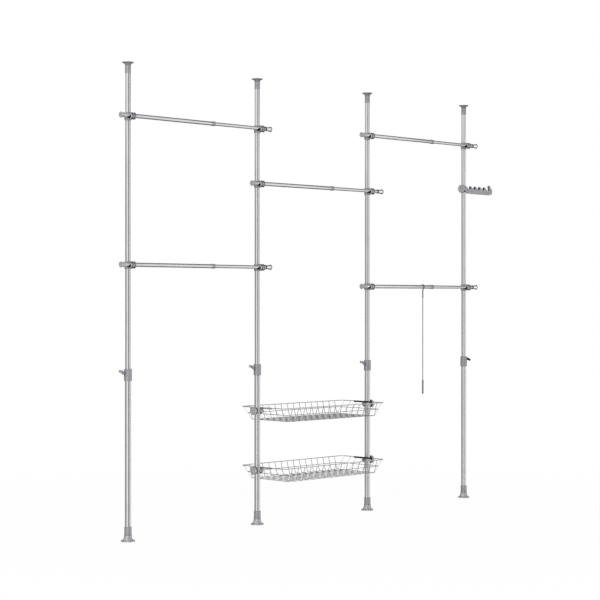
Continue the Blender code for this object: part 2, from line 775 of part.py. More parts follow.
def rod_hook_mesh():
    """A snap clip round the rail, open at the back, above the socket for the rod."""
    radius = clip_radius()
    points = []
    for i in range(ROD_CLIP_STEPS + 1):
        angle = -math.pi / 2 - ROD_CLIP_SWEEP * i / ROD_CLIP_STEPS
        points.append((0, radius * math.cos(angle), radius * math.sin(angle) - FIT_GAP))
    clip = wire("rod_clip", points, ROD_CLIP_WIRE, CLIP_SIDES, ALONG)
    top = -radius
    low = top - ROD_FERRULE_LENGTH
    bore = ROD_RADIUS + FIT_GAP
    outline = [
        (0, top),
        (ROD_CLIP_WIRE, top),
        (ROD_FERRULE_RADIUS, top - ROD_CLIP_WIRE),
        (ROD_FERRULE_RADIUS, low),
        (bore, low),
        (bore, low + ROD_SOCKET_DEPTH),
        (0, low + ROD_SOCKET_DEPTH),
    ]
    ferrule = turned("rod_ferrule", outline, SMALL_SIDES)
    return combined("rod_hook", ferrule, adds=[clip])


def rod_ends():
    """The heights of the ferrule's mouth, the grip's mouth and the grip's end below the rail's axis."""
    mouth = -clip_radius() - ROD_FERRULE_LENGTH
    end = -ROD_LENGTH
    return mouth, end + ROD_GRIP_LENGTH, end


def rod_shaft_mesh():
    mouth, grip_mouth, _ = rod_ends()
    high = mouth + ROD_SOCKET_DEPTH - FIT_GAP
    low = grip_mouth - ROD_SOCKET_DEPTH + FIT_GAP
    return rod("rod_shaft", ROD_RADIUS, low, high, SMALL_SIDES)


def rod_grip_mesh():
    _, mouth, end = rod_ends()
    bore = ROD_RADIUS + FIT_GAP
    taper = ROD_GRIP_RADIUS - bore
    outline = [
        (0, mouth - ROD_SOCKET_DEPTH),
        (bore, mouth - ROD_SOCKET_DEPTH),
        (bore, mouth),
        (bore + taper / 2, mouth),
        (ROD_GRIP_RADIUS, mouth - taper),
        (ROD_GRIP_RADIUS, end + taper),
        (ROD_GRIP_RADIUS - taper, end),
        (0, end),
    ]
    return turned("rod_grip", outline, SMALL_SIDES)


# Assembly


def build_posts(looks):
    """The four posts. Returns the empties of the lower and the upper half of each."""
    shapes = {
        "foot": (foot_mesh(), "pale"),
        "lower_tube": (lower_tube_mesh(), "tube"),
        "collar": (collar_mesh(), "plastic"),
        "upper_tube": (upper_tube_mesh(), "tube"),
        "top_cap": (top_cap_mesh(), "plastic"),
    }
    screw = wing_screw_mesh()
    lowers = []
    uppers = []
    for name, x in zip(POST_NAMES, POST_PLACES):
        lower = empty(name + "_lower", (x, 0, 0))
        upper = empty(name + "_upper", (x, 0, 0), lower)
        faces_left = x < POST_PLACES[-1]
        for kind, (mesh, look) in shapes.items():
            body = upper if kind in ("upper_tube", "top_cap") else lower
            turn = HALF_TURN if kind == "collar" and faces_left else None
            node(kind + "_" + name, mesh, looks[look], body, (x, 0, 0), turn)
        screw_axis = empty(name + "_screw", (x, 0, SCREW_HEIGHT), lower)
        turn = Matrix.Rotation(WING_TILT, 4, "X")
        if faces_left:
            turn = turn @ HALF_TURN
        node("wing_screw_" + name, screw, looks["dark"], screw_axis, (x, 0, SCREW_HEIGHT), turn)
        lowers.append(lower)
        uppers.append(upper)
    return lowers, uppers


def posts_of(rail_post):
    """The numbers of the two posts that carry a rail."""
    first = POST_NAMES.index(rail_post)
    return first, first + 1


def rail_span(rail_post, shift):
    """The X of a rail's left and right ends."""
    left, right = (POST_PLACES[post] for post in posts_of(rail_post))
    overhang = RAIL_OVERHANGS[rail_post]
    return left - overhang + shift, right + overhang + shift


def build_rails(looks, uppers):
    outer = outer_rail_mesh()
    inner = inner_rail_mesh()
    outer_clamp = clamp_mesh("outer_clamp", RAIL_OUTER_RADIUS)
    inner_clamp = clamp_mesh("inner_clamp", RAIL_INNER_RADIUS)
    carriers = {}
    for name, rail_post, height, shift in RAILS:
        left_end, right_end = rail_span(rail_post, shift)
        first, second = posts_of(rail_post)
        left = empty(name + "_left", (POST_PLACES[first], 0, height), uppers[first])
        right = empty(name + "_right", (POST_PLACES[second], 0, height), uppers[second])
        node(name + "_outer_tube", outer, looks["tube"], left, (left_end, -RAIL_OFFSET, height))
        node(name + "_inner_tube", inner, looks["tube"], right, (right_end, -RAIL_OFFSET, height))
        node(name + "_left_clamp", outer_clamp, looks["plastic"], left, (POST_PLACES[first], 0, height))
        node(name + "_right_clamp", inner_clamp, looks["plastic"], right, (POST_PLACES[second], 0, height))
        carriers[name] = left
    return carriers


def build_baskets(looks, lowers):
    basket = basket_mesh()
    bracket = bracket_mesh()
    knob = knob_mesh()
    left = POST_PLACES[1]
    right = POST_PLACES[2]
    for name, height in (("upper_basket", UPPER_BASKET_HEIGHT), ("lower_basket", LOWER_BASKET_HEIGHT)):
        body = empty(name + "_body", ((left + right) / 2, 0, height), lowers[1])
        node(name, basket, looks["wire"], body, ((left + right) / 2, 0, height))
        for side, x, turn in (("left", left, None), ("right", right, HALF_TURN)):
            node(f"{name}_{side}_bracket", bracket, looks["plastic"], body, (x, 0, height), turn)
            axis = (x, 0, height - BRACKET_DROP)
            knob_axis = empty(f"{name}_{side}_knob_axis", axis, body)
            node(f"{name}_{side}_knob", knob, looks["plastic"], knob_axis, axis, None if turn else HALF_TURN)


def build_hook_arm(looks, upper):
    place = (POST_PLACES[3], 0, HOOK_HEIGHT)
    slide = empty("hook_slide", place, upper)
    swivel = empty("hook_swivel", place, slide)
    node("hook_bush", bush_mesh(), looks["dark"], slide, place)
    node("hook_clamp", drum_mesh(), looks["plastic"], swivel, place)
    node("hook_arm", arm_mesh(), looks["plastic"], swivel, place)


def build_rod(looks, carrier):
    x = rail_span("inner_right", 0.0)[0] + OUTER_RAIL_LENGTH - ROD_SETBACK
    place = (x, -RAIL_OFFSET, LOW_RIGHT_RAIL_HEIGHT)
    swing = empty("rod_swing", place, carrier)
    node("rod_hook", rod_hook_mesh(), looks["plastic"], swing, place)
    node("rod_shaft", rod_shaft_mesh(), looks["wire"], swing, place)
    node("rod_grip", rod_grip_mesh(), looks["plastic"], swing, place)


def main():
    for item in list(bpy.data.objects):
        bpy.data.objects.remove(item)
    looks = materials()
    lowers, uppers = build_posts(looks)
    carriers = build_rails(looks, uppers)
    build_baskets(looks, lowers)
    build_hook_arm(looks, uppers[3])
    build_rod(looks, carriers["low_right_rail"])


main()
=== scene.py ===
"""The look of the telescopic clothes rack. Metres, +Z up; the origin is under the left post's foot."""

import json
import math

import bmesh
import bpy
from mathutils import Matrix, Vector


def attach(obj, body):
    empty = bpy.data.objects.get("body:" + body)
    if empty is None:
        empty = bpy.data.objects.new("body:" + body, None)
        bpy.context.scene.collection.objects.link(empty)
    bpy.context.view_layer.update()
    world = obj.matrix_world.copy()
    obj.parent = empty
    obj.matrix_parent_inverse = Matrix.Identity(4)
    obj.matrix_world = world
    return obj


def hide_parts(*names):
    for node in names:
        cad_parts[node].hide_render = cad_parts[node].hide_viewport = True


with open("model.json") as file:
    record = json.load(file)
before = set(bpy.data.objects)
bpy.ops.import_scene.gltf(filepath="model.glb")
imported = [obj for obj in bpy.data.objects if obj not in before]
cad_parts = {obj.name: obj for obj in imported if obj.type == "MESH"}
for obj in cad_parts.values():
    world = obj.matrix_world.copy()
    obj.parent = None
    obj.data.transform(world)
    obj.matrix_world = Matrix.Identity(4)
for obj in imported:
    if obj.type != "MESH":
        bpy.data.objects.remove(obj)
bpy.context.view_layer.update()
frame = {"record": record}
BODIES = frame["record"]["behaviour"]["bodies"]
BODY_OF = {node: body for body, nodes in BODIES.items() for node in nodes}

# Places and sizes of the rack
RACK_HEIGHT = 2.45
POST_NAMES = ("left", "inner_left", "inner_right", "right")
POST_PLACES = (0.0, 0.910, 1.8005, 2.6865)
FIT_GAP = 0.0003
LOWER_TUBE_RADIUS = 0.0160
LOWER_TUBE_WALL = 0.0012
UPPER_TUBE_RADIUS = 0.0144
UPPER_TUBE_WALL = 0.0011
LOWER_BORE = LOWER_TUBE_RADIUS + FIT_GAP
UPPER_BORE = UPPER_TUBE_RADIUS + FIT_GAP
FOOT_HEIGHT = 0.0750
FOOT_FLOOR = 0.0120
FOOT_RIM_RADIUS = 0.0365
COLLAR_TOP = 0.8812
COLLAR_RADIUS = 0.0205
SCREW_HEIGHT = 0.8657
SCREW_RADIUS = 0.0030
SCREW_TILT = math.radians(22)
LOWER_TUBE_ENDS = (0.0123, 0.8469)
CAP_HEIGHT = 0.0580
CAP_RIM_RADIUS = 0.0300
UPPER_TUBE_ENDS = (0.4469, RACK_HEIGHT - CAP_HEIGHT)
RAIL_Y = -0.0300
# Each rail's name, the post on its left, its height and its shift to the right
RAILS = (
    ("top_left_rail", 0, 2.1740, 0.0),
    ("low_left_rail", 0, 1.4140, 0.0),
    ("middle_rail", 1, 1.8720, 0.0118),
    ("top_right_rail", 2, 2.1970, 0.0),
    ("low_right_rail", 2, 1.3134, 0.0),
)
RAIL_LENGTH = 1.0550
OUTER_RAIL_LENGTH = 0.6400
INNER_RAIL_LENGTH = 0.6250
RAIL_OUTER_RADIUS = 0.0110
RAIL_INNER_RADIUS = 0.0095
RAIL_WALL = 0.0010
RAIL_CAP_SEAT = 0.0370
CLAMP_SAG = 0.0014
# Each flange's middle and half width along the rail, and its radius
CLAMP_FLANGES = ((-0.0140, 0.0038, 0.0186), (0.0014, 0.0024, 0.0187), (0.0157, 0.0021, 0.0186))
BASKETS = (("upper_basket", 0.6403), ("lower_basket", 0.3117))
BASKET_LENGTH = 0.8157
BASKET_DEPTH = 0.3400
BRACKET_DROP = 0.0146
RIM_INSET = 0.0374
HOOK_HEIGHT = 1.9277
SWIVEL_LOW = -0.0200
SWIVEL_TOP = 0.0150
VALLEY_START = 0.0470
VALLEY_TOP = 0.0015
VALLEY_SLOPE = 0.0165
FIRST_TOOTH = 0.0600
TOOTH_PITCH = 0.0450
TOOTH_COUNT = 4
TOOTH_TOP = 0.0202
END_TOOTH = 0.2450
END_TOOTH_TOP = 0.0332
ROD_PLACE = (2.2620, RAIL_Y, 1.3134)
ROD_RADIUS = 0.0028
ROD_CLIP_WIRE = 0.0026

# What cuts a bore through a small piece is this long to each side
CUTTER_REACH = 0.05

# Edges sharper than these stay sharp: on turned and cut pieces, and on plates
SHARP_ANGLE = math.radians(40)
PLATE_SHARP_ANGLE = math.radians(50)

# The camera, whose focal length and half width are in the photograph's pixels
CAMERA_PLACE = (-5.3898, -6.6478, 1.2339)
CAMERA_TURN = math.radians(-44.93)
HALF_PHOTO_PIXELS = 300
FOCAL_PIXELS = 1665.77

# The studio
WORLD_LEVEL = 0.52
FADE_START = 1.7
FADE_END = 3.6
FLOOR_WHITENESS = 0.975
CARD_CENTRE = (1.34, 1.2)
CARD_DISTANCE = 16
# Each far card's name, its directions and elevations in degrees, and its brightness
FAR_CARDS = (
    ("bright_left_card", (187, 224), (-50, 50), 1.20),
    ("grey_front_card", (262, 300), (-50, 50), 0.98),
    ("bright_front_card", (300, 330), (-26, 26), 1.15),
    ("grey_right_card", (330, 360), (-13, 9), 0.66),
    ("dark_back_card", (40, 175), (-35, 14), 0.42),
    ("rail_top_card", (-32, 41), (13, 72), 0.24),
    ("edge_top_card", (41, 62), (14, 72), 0.35),
    ("top_side_card", (-80, -32), (34, 72), 0.42),
    ("top_back_card", (62, 125), (16, 72), 0.20),
    ("rail_under_card", (-20, 41), (-72, -19), 0.16),
    ("edge_under_card", (41, 70), (-72, -35), 0.35),
    ("under_side_card", (-80, -20), (-72, -38), 0.42),
    ("under_back_card", (70, 125), (-72, -35), 0.25),
)

Z_TO_X = Matrix.Rotation(math.pi / 2, 4, "Y")
HALF_TURN = Matrix.Rotation(math.pi, 4, "Z")
UPRIGHT = Matrix.Rotation(math.pi / 2, 4, "X")


# Mesh helpers


def rounded(points, steps=5, closed=False):
    """A line of points with arcs at its corners. A point may end in the radius of its own arc."""
    made = []
    count = len(points)
    dims = 2 if len(points[0]) < 4 else 3

    def place(point):
        return Vector(tuple(point[:dims]) + (0,) * (3 - dims))

    for i, point in enumerate(points):
        here = place(point)
        radius = point[dims] if len(point) > dims else 0
        ends = not closed and i in (0, count - 1)
        if not radius or ends:
            made.append(here)
            continue
        to_before = place(points[i - 1]) - here
        to_after = place(points[(i + 1) % count]) - here
        turn = math.pi - to_before.angle(to_after)
        back = min(radius * math.tan(turn / 2), to_before.length * 0.49, to_after.length * 0.49)
        start = here + to_before.normalized() * back
        end = here + to_after.normalized() * back
        for k in range(steps + 1):
            t = k / steps
            made.append(start * (1 - t) ** 2 + here * 2 * t * (1 - t) + end * t**2)
    return made


def shaded(mesh, sharp=SHARP_ANGLE):
    """The mesh, smooth but for its edges sharper than an angle."""
    mesh.shade_smooth()
    mesh.set_sharp_from_angle(angle=sharp)
    return mesh


def linked(name, data):
    """A new object in the scene."""
    made = bpy.data.objects.new(name, data)
    bpy.context.scene.collection.objects.link(made)
    return made


def mesh_of(name, bm):
    """A new mesh from a bmesh, which it uses up."""
    mesh = bpy.data.meshes.new(name)
    bm.to_mesh(mesh)
    bm.free()
    return mesh


def finished(name, bm, sharp=SHARP_ANGLE):
    """The mesh of a bmesh, with its seams closed."""
    bmesh.ops.remove_doubles(bm, verts=bm.verts, dist=1e-6)
    bmesh.ops.recalc_face_normals(bm, faces=bm.faces)
    return shaded(mesh_of(name, bm), sharp)


def turned(name, outline, closed=False, sides=72, steps=5):
    """A body turned round Z from (radius, height) points, which may each end in a rounding radius."""
    bm = bmesh.new()
    line = rounded(outline, steps, closed)
    verts = [bm.verts.new((p[0], 0, p[1])) for p in line]
    edges = [bm.edges.new(pair) for pair in zip(verts, verts[1:])]
    if closed:
        edges.append(bm.edges.new((verts[-1], verts[0])))
    bmesh.ops.spin(bm, geom=verts + edges, cent=(0, 0, 0), axis=(0, 0, 1), angle=2 * math.pi, steps=sides)
    return finished(name, bm)


def cylinder(name, radius, low, high, sides=72):
    """A plain solid cylinder about Z, between two heights."""
    return turned(name, [(0, high), (radius, high), (radius, low), (0, low)], sides=sides)


def tube_mesh(name, outer, inner, low, high):
    """A tube about Z, between two heights, with slightly rounded ends."""
    edge = (outer - inner) * 0.35
    corners = [(outer, low, edge), (outer, high, edge), (inner, high, edge), (inner, low, edge)]
    return turned(name, corners, closed=True, steps=3)


def laid(mesh):
    """The same mesh with its Z laid along X."""
    mesh.transform(Z_TO_X)
    return mesh


def turned_along_x(name, outline, closed=False, sides=72, steps=5):
    """The same as turned, laid along X."""
    return laid(turned(name, outline, closed, sides, steps))


def swept(name, points, radius, closed=False, sides=14):
    """A round wire along a line of points."""
    bm = bmesh.new()
    count = len(points)
    sections = []
    normal = None
    for i, point in enumerate(points):
        before = points[i - 1] if closed or i else point
        after = points[(i + 1) % count] if closed or i < count - 1 else point
        along = (after - before).normalized()
        if normal is None:
            normal = along.orthogonal().normalized()
        normal = (normal - along * normal.dot(along)).normalized()
        other = along.cross(normal)
        section = []
        for k in range(sides):
            angle = 2 * math.pi * k / sides
            outward = normal * math.cos(angle) + other * math.sin(angle)
            section.append(bm.verts.new(point + outward * radius))
        sections.append(section)
    pairs = list(zip(sections, sections[1:]))
    if closed:
        first = sections[0]
        shift = min(range(sides), key=lambda k: (sections[-1][0].co - first[k].co).length)
        pairs.append((sections[-1], first[shift:] + first[:shift]))
    for one, two in pairs:
        for k in range(sides):
            after = (k + 1) % sides
            bm.faces.new((one[k], one[after], two[after], two[k]))
    if not closed:
        bm.faces.new(list(reversed(sections[0])))
        bm.faces.new(sections[-1])
    return finished(name, bm)


def plate(name, outline, thickness, bevel, steps=4, segments=3):
    """A flat plate with a rounded (x, y) outline, centred on Z = 0, with rounded edges."""
    bm = bmesh.new()
    line = rounded(outline, steps, closed=True)
    low = [bm.verts.new((p[0], p[1], -thickness / 2)) for p in line]
    face = bm.faces.new(low)
    made = bmesh.ops.extrude_face_region(bm, geom=[face])["geom"]
    raised = [item for item in made if isinstance(item, bmesh.types.BMVert)]
    bmesh.ops.translate(bm, verts=raised, vec=(0, 0, thickness))
    bmesh.ops.recalc_face_normals(bm, faces=bm.faces)
    rims = [e for e in bm.edges if abs(e.verts[0].co.z - e.verts[1].co.z) < 1e-7]
    bmesh.ops.bevel(
        bm, geom=rims, offset=bevel, segments=segments, profile=0.5, affect="EDGES", clamp_overlap=True
    )
    return finished(name, bm, PLATE_SHARP_ANGLE)


def block(name, across, along, thickness, bevel, corner=0.0):
    """A plate with a rectangular outline, between two values of X and two of Y."""
    corners = ((across[0], along[0]), (across[1], along[0]), (across[1], along[1]), (across[0], along[1]))
    return plate(name, [(x, y, corner) for x, y in corners], thickness, bevel)


def mirrored(half):
    """An outline from its upper half, a list of (x, y) points that may each end in a rounding radius."""
    return half + [(point[0], -point[1], *point[2:]) for point in reversed(half)]


def ribbed(radius, depth, start, step, count, *corner):
    """Points that step in and out, for a thread or ribs."""
    return [(radius - depth * (i % 2), start + step * i, *corner) for i in range(count)]


def joined(name, meshes):
    """One mesh out of several."""
    bm = bmesh.new()
    for mesh in meshes:
        bm.from_mesh(mesh)
    return shaded(mesh_of(name, bm))


def cut(name, mesh, *tools):
    """The mesh with the tools' shapes cut out of it."""
    holder = linked(name, mesh)
    cutters = []
    for tool in tools:
        cutter = linked(name + "_cutter", tool)
        cutters.append(cutter)
        step = holder.modifiers.new("cut", "BOOLEAN")
        step.operation = "DIFFERENCE"
        step.object = cutter
    graph = bpy.context.evaluated_depsgraph_get()
    made = bpy.data.meshes.new_from_object(holder.evaluated_get(graph))
    made.name = name
    for item in [holder] + cutters:
        bpy.data.objects.remove(item)
    return shaded(made)


# Materials


def shader_of(name):
    """A new material, with its node tree and its main shader."""
    made = bpy.data.materials.new(name)
    made.use_nodes = True
    return made, made.node_tree, made.node_tree.nodes["Principled BSDF"]


def noise(tree, scale, detail, stretch=(1, 1, 1)):
    """Noise in the object's own space, stretched along its axes."""
    coords = tree.nodes.new("ShaderNodeTexCoord")
    mapping = tree.nodes.new("ShaderNodeMapping")
    mapping.inputs["Scale"].default_value = stretch
    texture = tree.nodes.new("ShaderNodeTexNoise")
    texture.inputs["Scale"].default_value = scale
    texture.inputs["Detail"].default_value = detail
    texture.inputs["Roughness"].default_value = 0.55
    tree.links.new(coords.outputs["Object"], mapping.inputs["Vector"])
    tree.links.new(mapping.outputs["Vector"], texture.inputs["Vector"])
    return texture.outputs["Fac"]


def ranged(tree, value, low, high):
    """Noise turned into values between two limits."""
    node = tree.nodes.new("ShaderNodeMapRange")
    node.inputs["From Min"].default_value = 0.3
    node.inputs["From Max"].default_value = 0.7
    node.inputs["To Min"].default_value = low
    node.inputs["To Max"].default_value = high
    tree.links.new(value, node.inputs["Value"])
    return node.outputs["Result"]


def tinted(tree, value, colour, darker, lighter):
    """Noise turned into a colour, between a darker and a lighter share of it."""
    ramp = tree.nodes.new("ShaderNodeValToRGB")
    ends = ((0.35, darker), (0.65, lighter))
    for element, (position, share) in zip(ramp.color_ramp.elements, ends):
        element.position = position
        element.color = (*(min(c * share, 1) for c in colour), 1)
    tree.links.new(value, ramp.inputs["Fac"])
    return ramp.outputs["Color"]


def bumped(tree, shader, height, strength, distance):
    """Noise as fine relief."""
    bump = tree.nodes.new("ShaderNodeBump")
    bump.inputs["Strength"].default_value = strength
    bump.inputs["Distance"].default_value = distance
    tree.links.new(height, bump.inputs["Height"])
    tree.links.new(bump.outputs["Normal"], shader.inputs["Normal"])


def satin_metal(name, colour, roughness, lines):
    """Silver lacquer over drawn steel: fine lines along the tube, and faint cloudiness."""
    made, tree, shader = shader_of(name)
    shader.inputs["Metallic"].default_value = 1.0
    drawn = noise(tree, scale=1.0, detail=2.0, stretch=lines)
    cloud = noise(tree, scale=9.0, detail=3.0)
    tree.links.new(tinted(tree, cloud, colour, 0.955, 1.03), shader.inputs["Base Color"])
    tree.links.new(ranged(tree, drawn, roughness - 0.03, roughness + 0.04), shader.inputs["Roughness"])
    bumped(tree, shader, drawn, strength=0.05, distance=0.00002)
    return made


def wire_metal(name, colour, roughness):
    """Silver coated wire: slightly uneven coating, a little duller in patches."""
    made, tree, shader = shader_of(name)
    shader.inputs["Metallic"].default_value = 1.0
    coat = noise(tree, scale=260.0, detail=3.0)
    patch = noise(tree, scale=22.0, detail=2.0)
    tree.links.new(tinted(tree, patch, colour, 0.90, 1.06), shader.inputs["Base Color"])
    tree.links.new(ranged(tree, coat, roughness - 0.06, roughness + 0.08), shader.inputs["Roughness"])
    bumped(tree, shader, coat, strength=0.18, distance=0.00005)
    return made


def moulded(name, colour, roughness, metallic=0.0, gloss=0.5):
    """Moulded plastic: a fine spark-eroded grain, faint flow marks and a softly uneven gloss."""
    made, tree, shader = shader_of(name)
    shader.inputs["Metallic"].default_value = metallic
    shader.inputs["Specular IOR Level"].default_value = gloss
    fine = noise(tree, scale=2600.0, detail=2.0)
    flow = noise(tree, scale=34.0, detail=4.0, stretch=(1, 1, 2.5))
    tree.links.new(tinted(tree, flow, colour, 0.90, 1.08), shader.inputs["Base Color"])
    tree.links.new(ranged(tree, flow, roughness - 0.05, roughness + 0.06), shader.inputs["Roughness"])
    bumped(tree, shader, fine, strength=0.14, distance=0.00006)
    return made


SILVER = (0.66, 0.665, 0.685)
# Some looks also stand for painted light and shade: black for shade in the collar slits, under the rails,
# behind the knobs, on the arm's teeth and on the right post's wings; mid for shade under the caps'
# flanges; pale for light on the feet's bells; rim for light on the long basket wires; dim partly for shade
# in the clamps' grooves.
LOOKS = {
    "post": satin_metal("satin_silver_post", SILVER, 0.24, lines=(900, 900, 6)),
    "rail": satin_metal("satin_silver_rail", SILVER, 0.24, lines=(6, 900, 900)),
    "wire": wire_metal("silver_wire", (0.33, 0.333, 0.343), 0.28),
    "rim": wire_metal("silver_rim", (0.62, 0.623, 0.635), 0.30),
    "grey": moulded("grey_moulding", (0.320, 0.322, 0.340), 0.36, metallic=0.45),
    "pale": moulded("pale_grey_moulding", (0.455, 0.457, 0.475), 0.28, metallic=0.50),
    "arm": moulded("arm_grey_moulding", (0.375, 0.377, 0.395), 0.34, metallic=0.15),
    "mid": moulded("dull_grey_moulding", (0.205, 0.206, 0.218), 0.44, metallic=0.20),
    "bright": wire_metal("bright_plated", (0.86, 0.86, 0.87), 0.10),
    "plated": wire_metal("dull_plated", (0.55, 0.552, 0.565), 0.14),
    "screw": wire_metal("grey_plated", (0.40, 0.40, 0.41), 0.22),
    "dim": wire_metal("dim_plated", (0.18, 0.18, 0.186), 0.12),
    "core": wire_metal("dark_plated", (0.085, 0.085, 0.09), 0.14),
    "black": moulded("near_black_moulding", (0.014, 0.014, 0.016), 0.50, gloss=0.08),
}


# Placing


def at(x=0.0, y=0.0, z=0.0):
    """A move to a place."""
    return Matrix.Translation((x, y, z))


def show(name, mesh, look, node, matrix, stands_for=True):
    """One visible piece that rides on the body of a CAD node and, mostly, stands for it."""
    if mesh.materials and mesh.materials[0] != LOOKS[look]:
        mesh = mesh.copy()
        mesh.materials.clear()
    if not mesh.materials:
        mesh.materials.append(LOOKS[look])
    made = linked(name, mesh)
    made.matrix_world = matrix
    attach(made, BODY_OF[node])
    if stands_for:
        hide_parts(node)


# Posts


def foot_meshes():
    """The sleeve that takes the lower tube, and the flared bell under it, which is drawn paler as painted
    light on its upward-facing flare.
    """
    wall = 0.0187
    band = 0.0203
    neck = 0.0198
    socket = 0.0161
    seam = 0.0310
    lap = 0.0312
    sleeve = turned("foot_sleeve", [
        (LOWER_BORE, FOOT_FLOOR + 0.0005),
        (LOWER_BORE, FOOT_HEIGHT, 0.0006),
        (wall, FOOT_HEIGHT, 0.0008),
        (wall, 0.0355, 0.0006),
        (band, 0.0350, 0.0006),
        (band, 0.0318, 0.0006),
        (neck, seam),
        (LOWER_BORE, seam),
    ], closed=True)
    bell = turned("foot_bell", [
        (0, FOOT_FLOOR),
        (socket, FOOT_FLOOR),
        (socket, lap),
        (neck, lap, 0.0005),
        (0.0204, 0.0280, 0.004),
        (0.0220, 0.0190, 0.010),
        (0.0262, 0.0100, 0.006),
        (0.0300, 0.0068, 0.003),
        (FOOT_RIM_RADIUS - 0.0003, 0.0062, 0.0016),
        (FOOT_RIM_RADIUS, 0.0030, 0.001),
        (FOOT_RIM_RADIUS - 0.0005, 0.0, 0.0006),
        (0.0330, 0.0),
        (0, 0.0),
    ])
    return sleeve, bell


def collar_meshes():
    """The collar at the lower tube's mouth, the boss round its screw and its slit, both on the +X side,
    with a black strip in the slit as painted shade.
    """
    low = 0.8203
    groove_low = 0.8460
    groove_top = 0.8474
    groove_radius = COLLAR_RADIUS - 0.0004
    body = turned("collar_body", [
        (LOWER_BORE, low, 0.0005),
        (COLLAR_RADIUS, low, 0.0014),
        (COLLAR_RADIUS, groove_low, 0.0003),
        (groove_radius, groove_low + 0.0003, 0.0002),
        (groove_radius, groove_top - 0.0003, 0.0002),
        (COLLAR_RADIUS, groove_top, 0.0003),
        (COLLAR_RADIUS, COLLAR_TOP, 0.0016),
        (UPPER_BORE, COLLAR_TOP, 0.0006),
        (UPPER_BORE, groove_top),
        (LOWER_BORE, groove_top),
    ], closed=True)
    hole_radius = 0.0036
    boss_base = 0.0192
    boss_face = 0.0218
    hole = laid(cylinder("collar_hole", hole_radius, 0, 0.030, sides=32))
    hole.transform(at(z=SCREW_HEIGHT))
    boss = turned_along_x("collar_boss", [
        (hole_radius, boss_base),
        (hole_radius, boss_face, 0.0004),
        (0.0052, boss_face, 0.0008),
        (0.0060, boss_base),
    ], sides=40)
    boss.transform(at(z=SCREW_HEIGHT))
    # The clamping slit runs down from the screw. It is drawn as height and width, then stood up.
    outline = mirrored([(SCREW_HEIGHT - SCREW_RADIUS, 0.0028), (0.8480, 0.0024), (0.8405, 0.0010)])
    stood = Matrix.Rotation(-math.pi / 2, 4, "Y")
    slit = plate("collar_slit_cutter", outline, 0.0060, 0, steps=1, segments=1)
    slit.transform(at(0.0210) @ stood)
    # A black strip near the slit's floor is painted shade, darker than the slit's depth makes it by
    # itself.
    slit_shade = plate("collar_slit", outline, 0.0004, 0, steps=1, segments=1)
    slit_shade.transform(at(0.0183) @ stood)
    return cut("collar_body", body, hole, slit), boss, slit_shade


def wing_screw_meshes():
    """The screw and its wings along +X, with the wings level."""
    tip = 0.0147
    end = 0.0305
    thread = ribbed(SCREW_RADIUS, depth=0.0003, start=0.0160, step=0.0008, count=18)
    shank = turned_along_x("screw_shank", [
        (0, tip),
        (SCREW_RADIUS - 0.0004, tip, 0.0004),
        (SCREW_RADIUS, 0.0155),
        *thread,
        (SCREW_RADIUS, end),
        (0, end),
    ], sides=32, steps=3)
    hub_start = 0.0240
    hub_end = 0.0448
    hub = turned_along_x("screw_hub", [
        (0, hub_start),
        (0.0042, hub_start, 0.0006),
        (0.0050, 0.0310, 0.002),
        (0.0056, 0.0400, 0.002),
        (0.0040, hub_end, 0.002),
        (0, hub_end),
    ], sides=40)
    wing_end = 0.0474
    wing_reach = 0.0190
    half = [
        (0.0310, 0.0058, 0.002),
        (0.0345, 0.0116, 0.004),
        (0.0376, wing_reach, 0.0050),
        (wing_end, wing_reach, 0.0050),
        (wing_end, 0.0110, 0.005),
        (0.0430, 0.0046, 0.003),
    ]
    wings = plate("screw_wings", mirrored(half), 0.0122, 0.0044, steps=6, segments=6)
    return shank, joined("screw_head", [hub, wings])


def top_cap_meshes():
    """The flared flange at the top of a post, and the sleeve and plug under it. The flange is drawn darker
    than the sleeve as painted shade, though both are one moulding.
    """
    top = RACK_HEIGHT
    neck = 0.0146
    seam = top - 0.0178
    flange = turned("top_cap_flange", [
        (0, top),
        (0.0270, top, 0.0004),
        (CAP_RIM_RADIUS - 0.0004, top, 0.0010),
        (CAP_RIM_RADIUS, top - 0.0022, 0.001),
        (CAP_RIM_RADIUS - 0.0004, top - 0.0046, 0.0010),
        (0.0240, top - 0.0052, 0.003),
        (0.0192, top - 0.0080, 0.004),
        (0.0162, top - 0.0126, 0.004),
        (0.0152, top - 0.0175, 0.002),
        (neck, seam),
        (0, seam),
    ])
    sleeve_top = top - 0.0179
    sleeve_radius = 0.0150
    plug_radius = 0.0130
    sleeve = turned("top_cap_sleeve", [
        (0, sleeve_top),
        (neck, sleeve_top),
        (sleeve_radius, top - 0.0183, 0.0003),
        (sleeve_radius, top - 0.0574, 0.0006),
        (plug_radius, top - 0.0577),
        (plug_radius, top - 0.0875, 0.0010),
        (0, top - 0.0877),
    ])
    return flange, sleeve


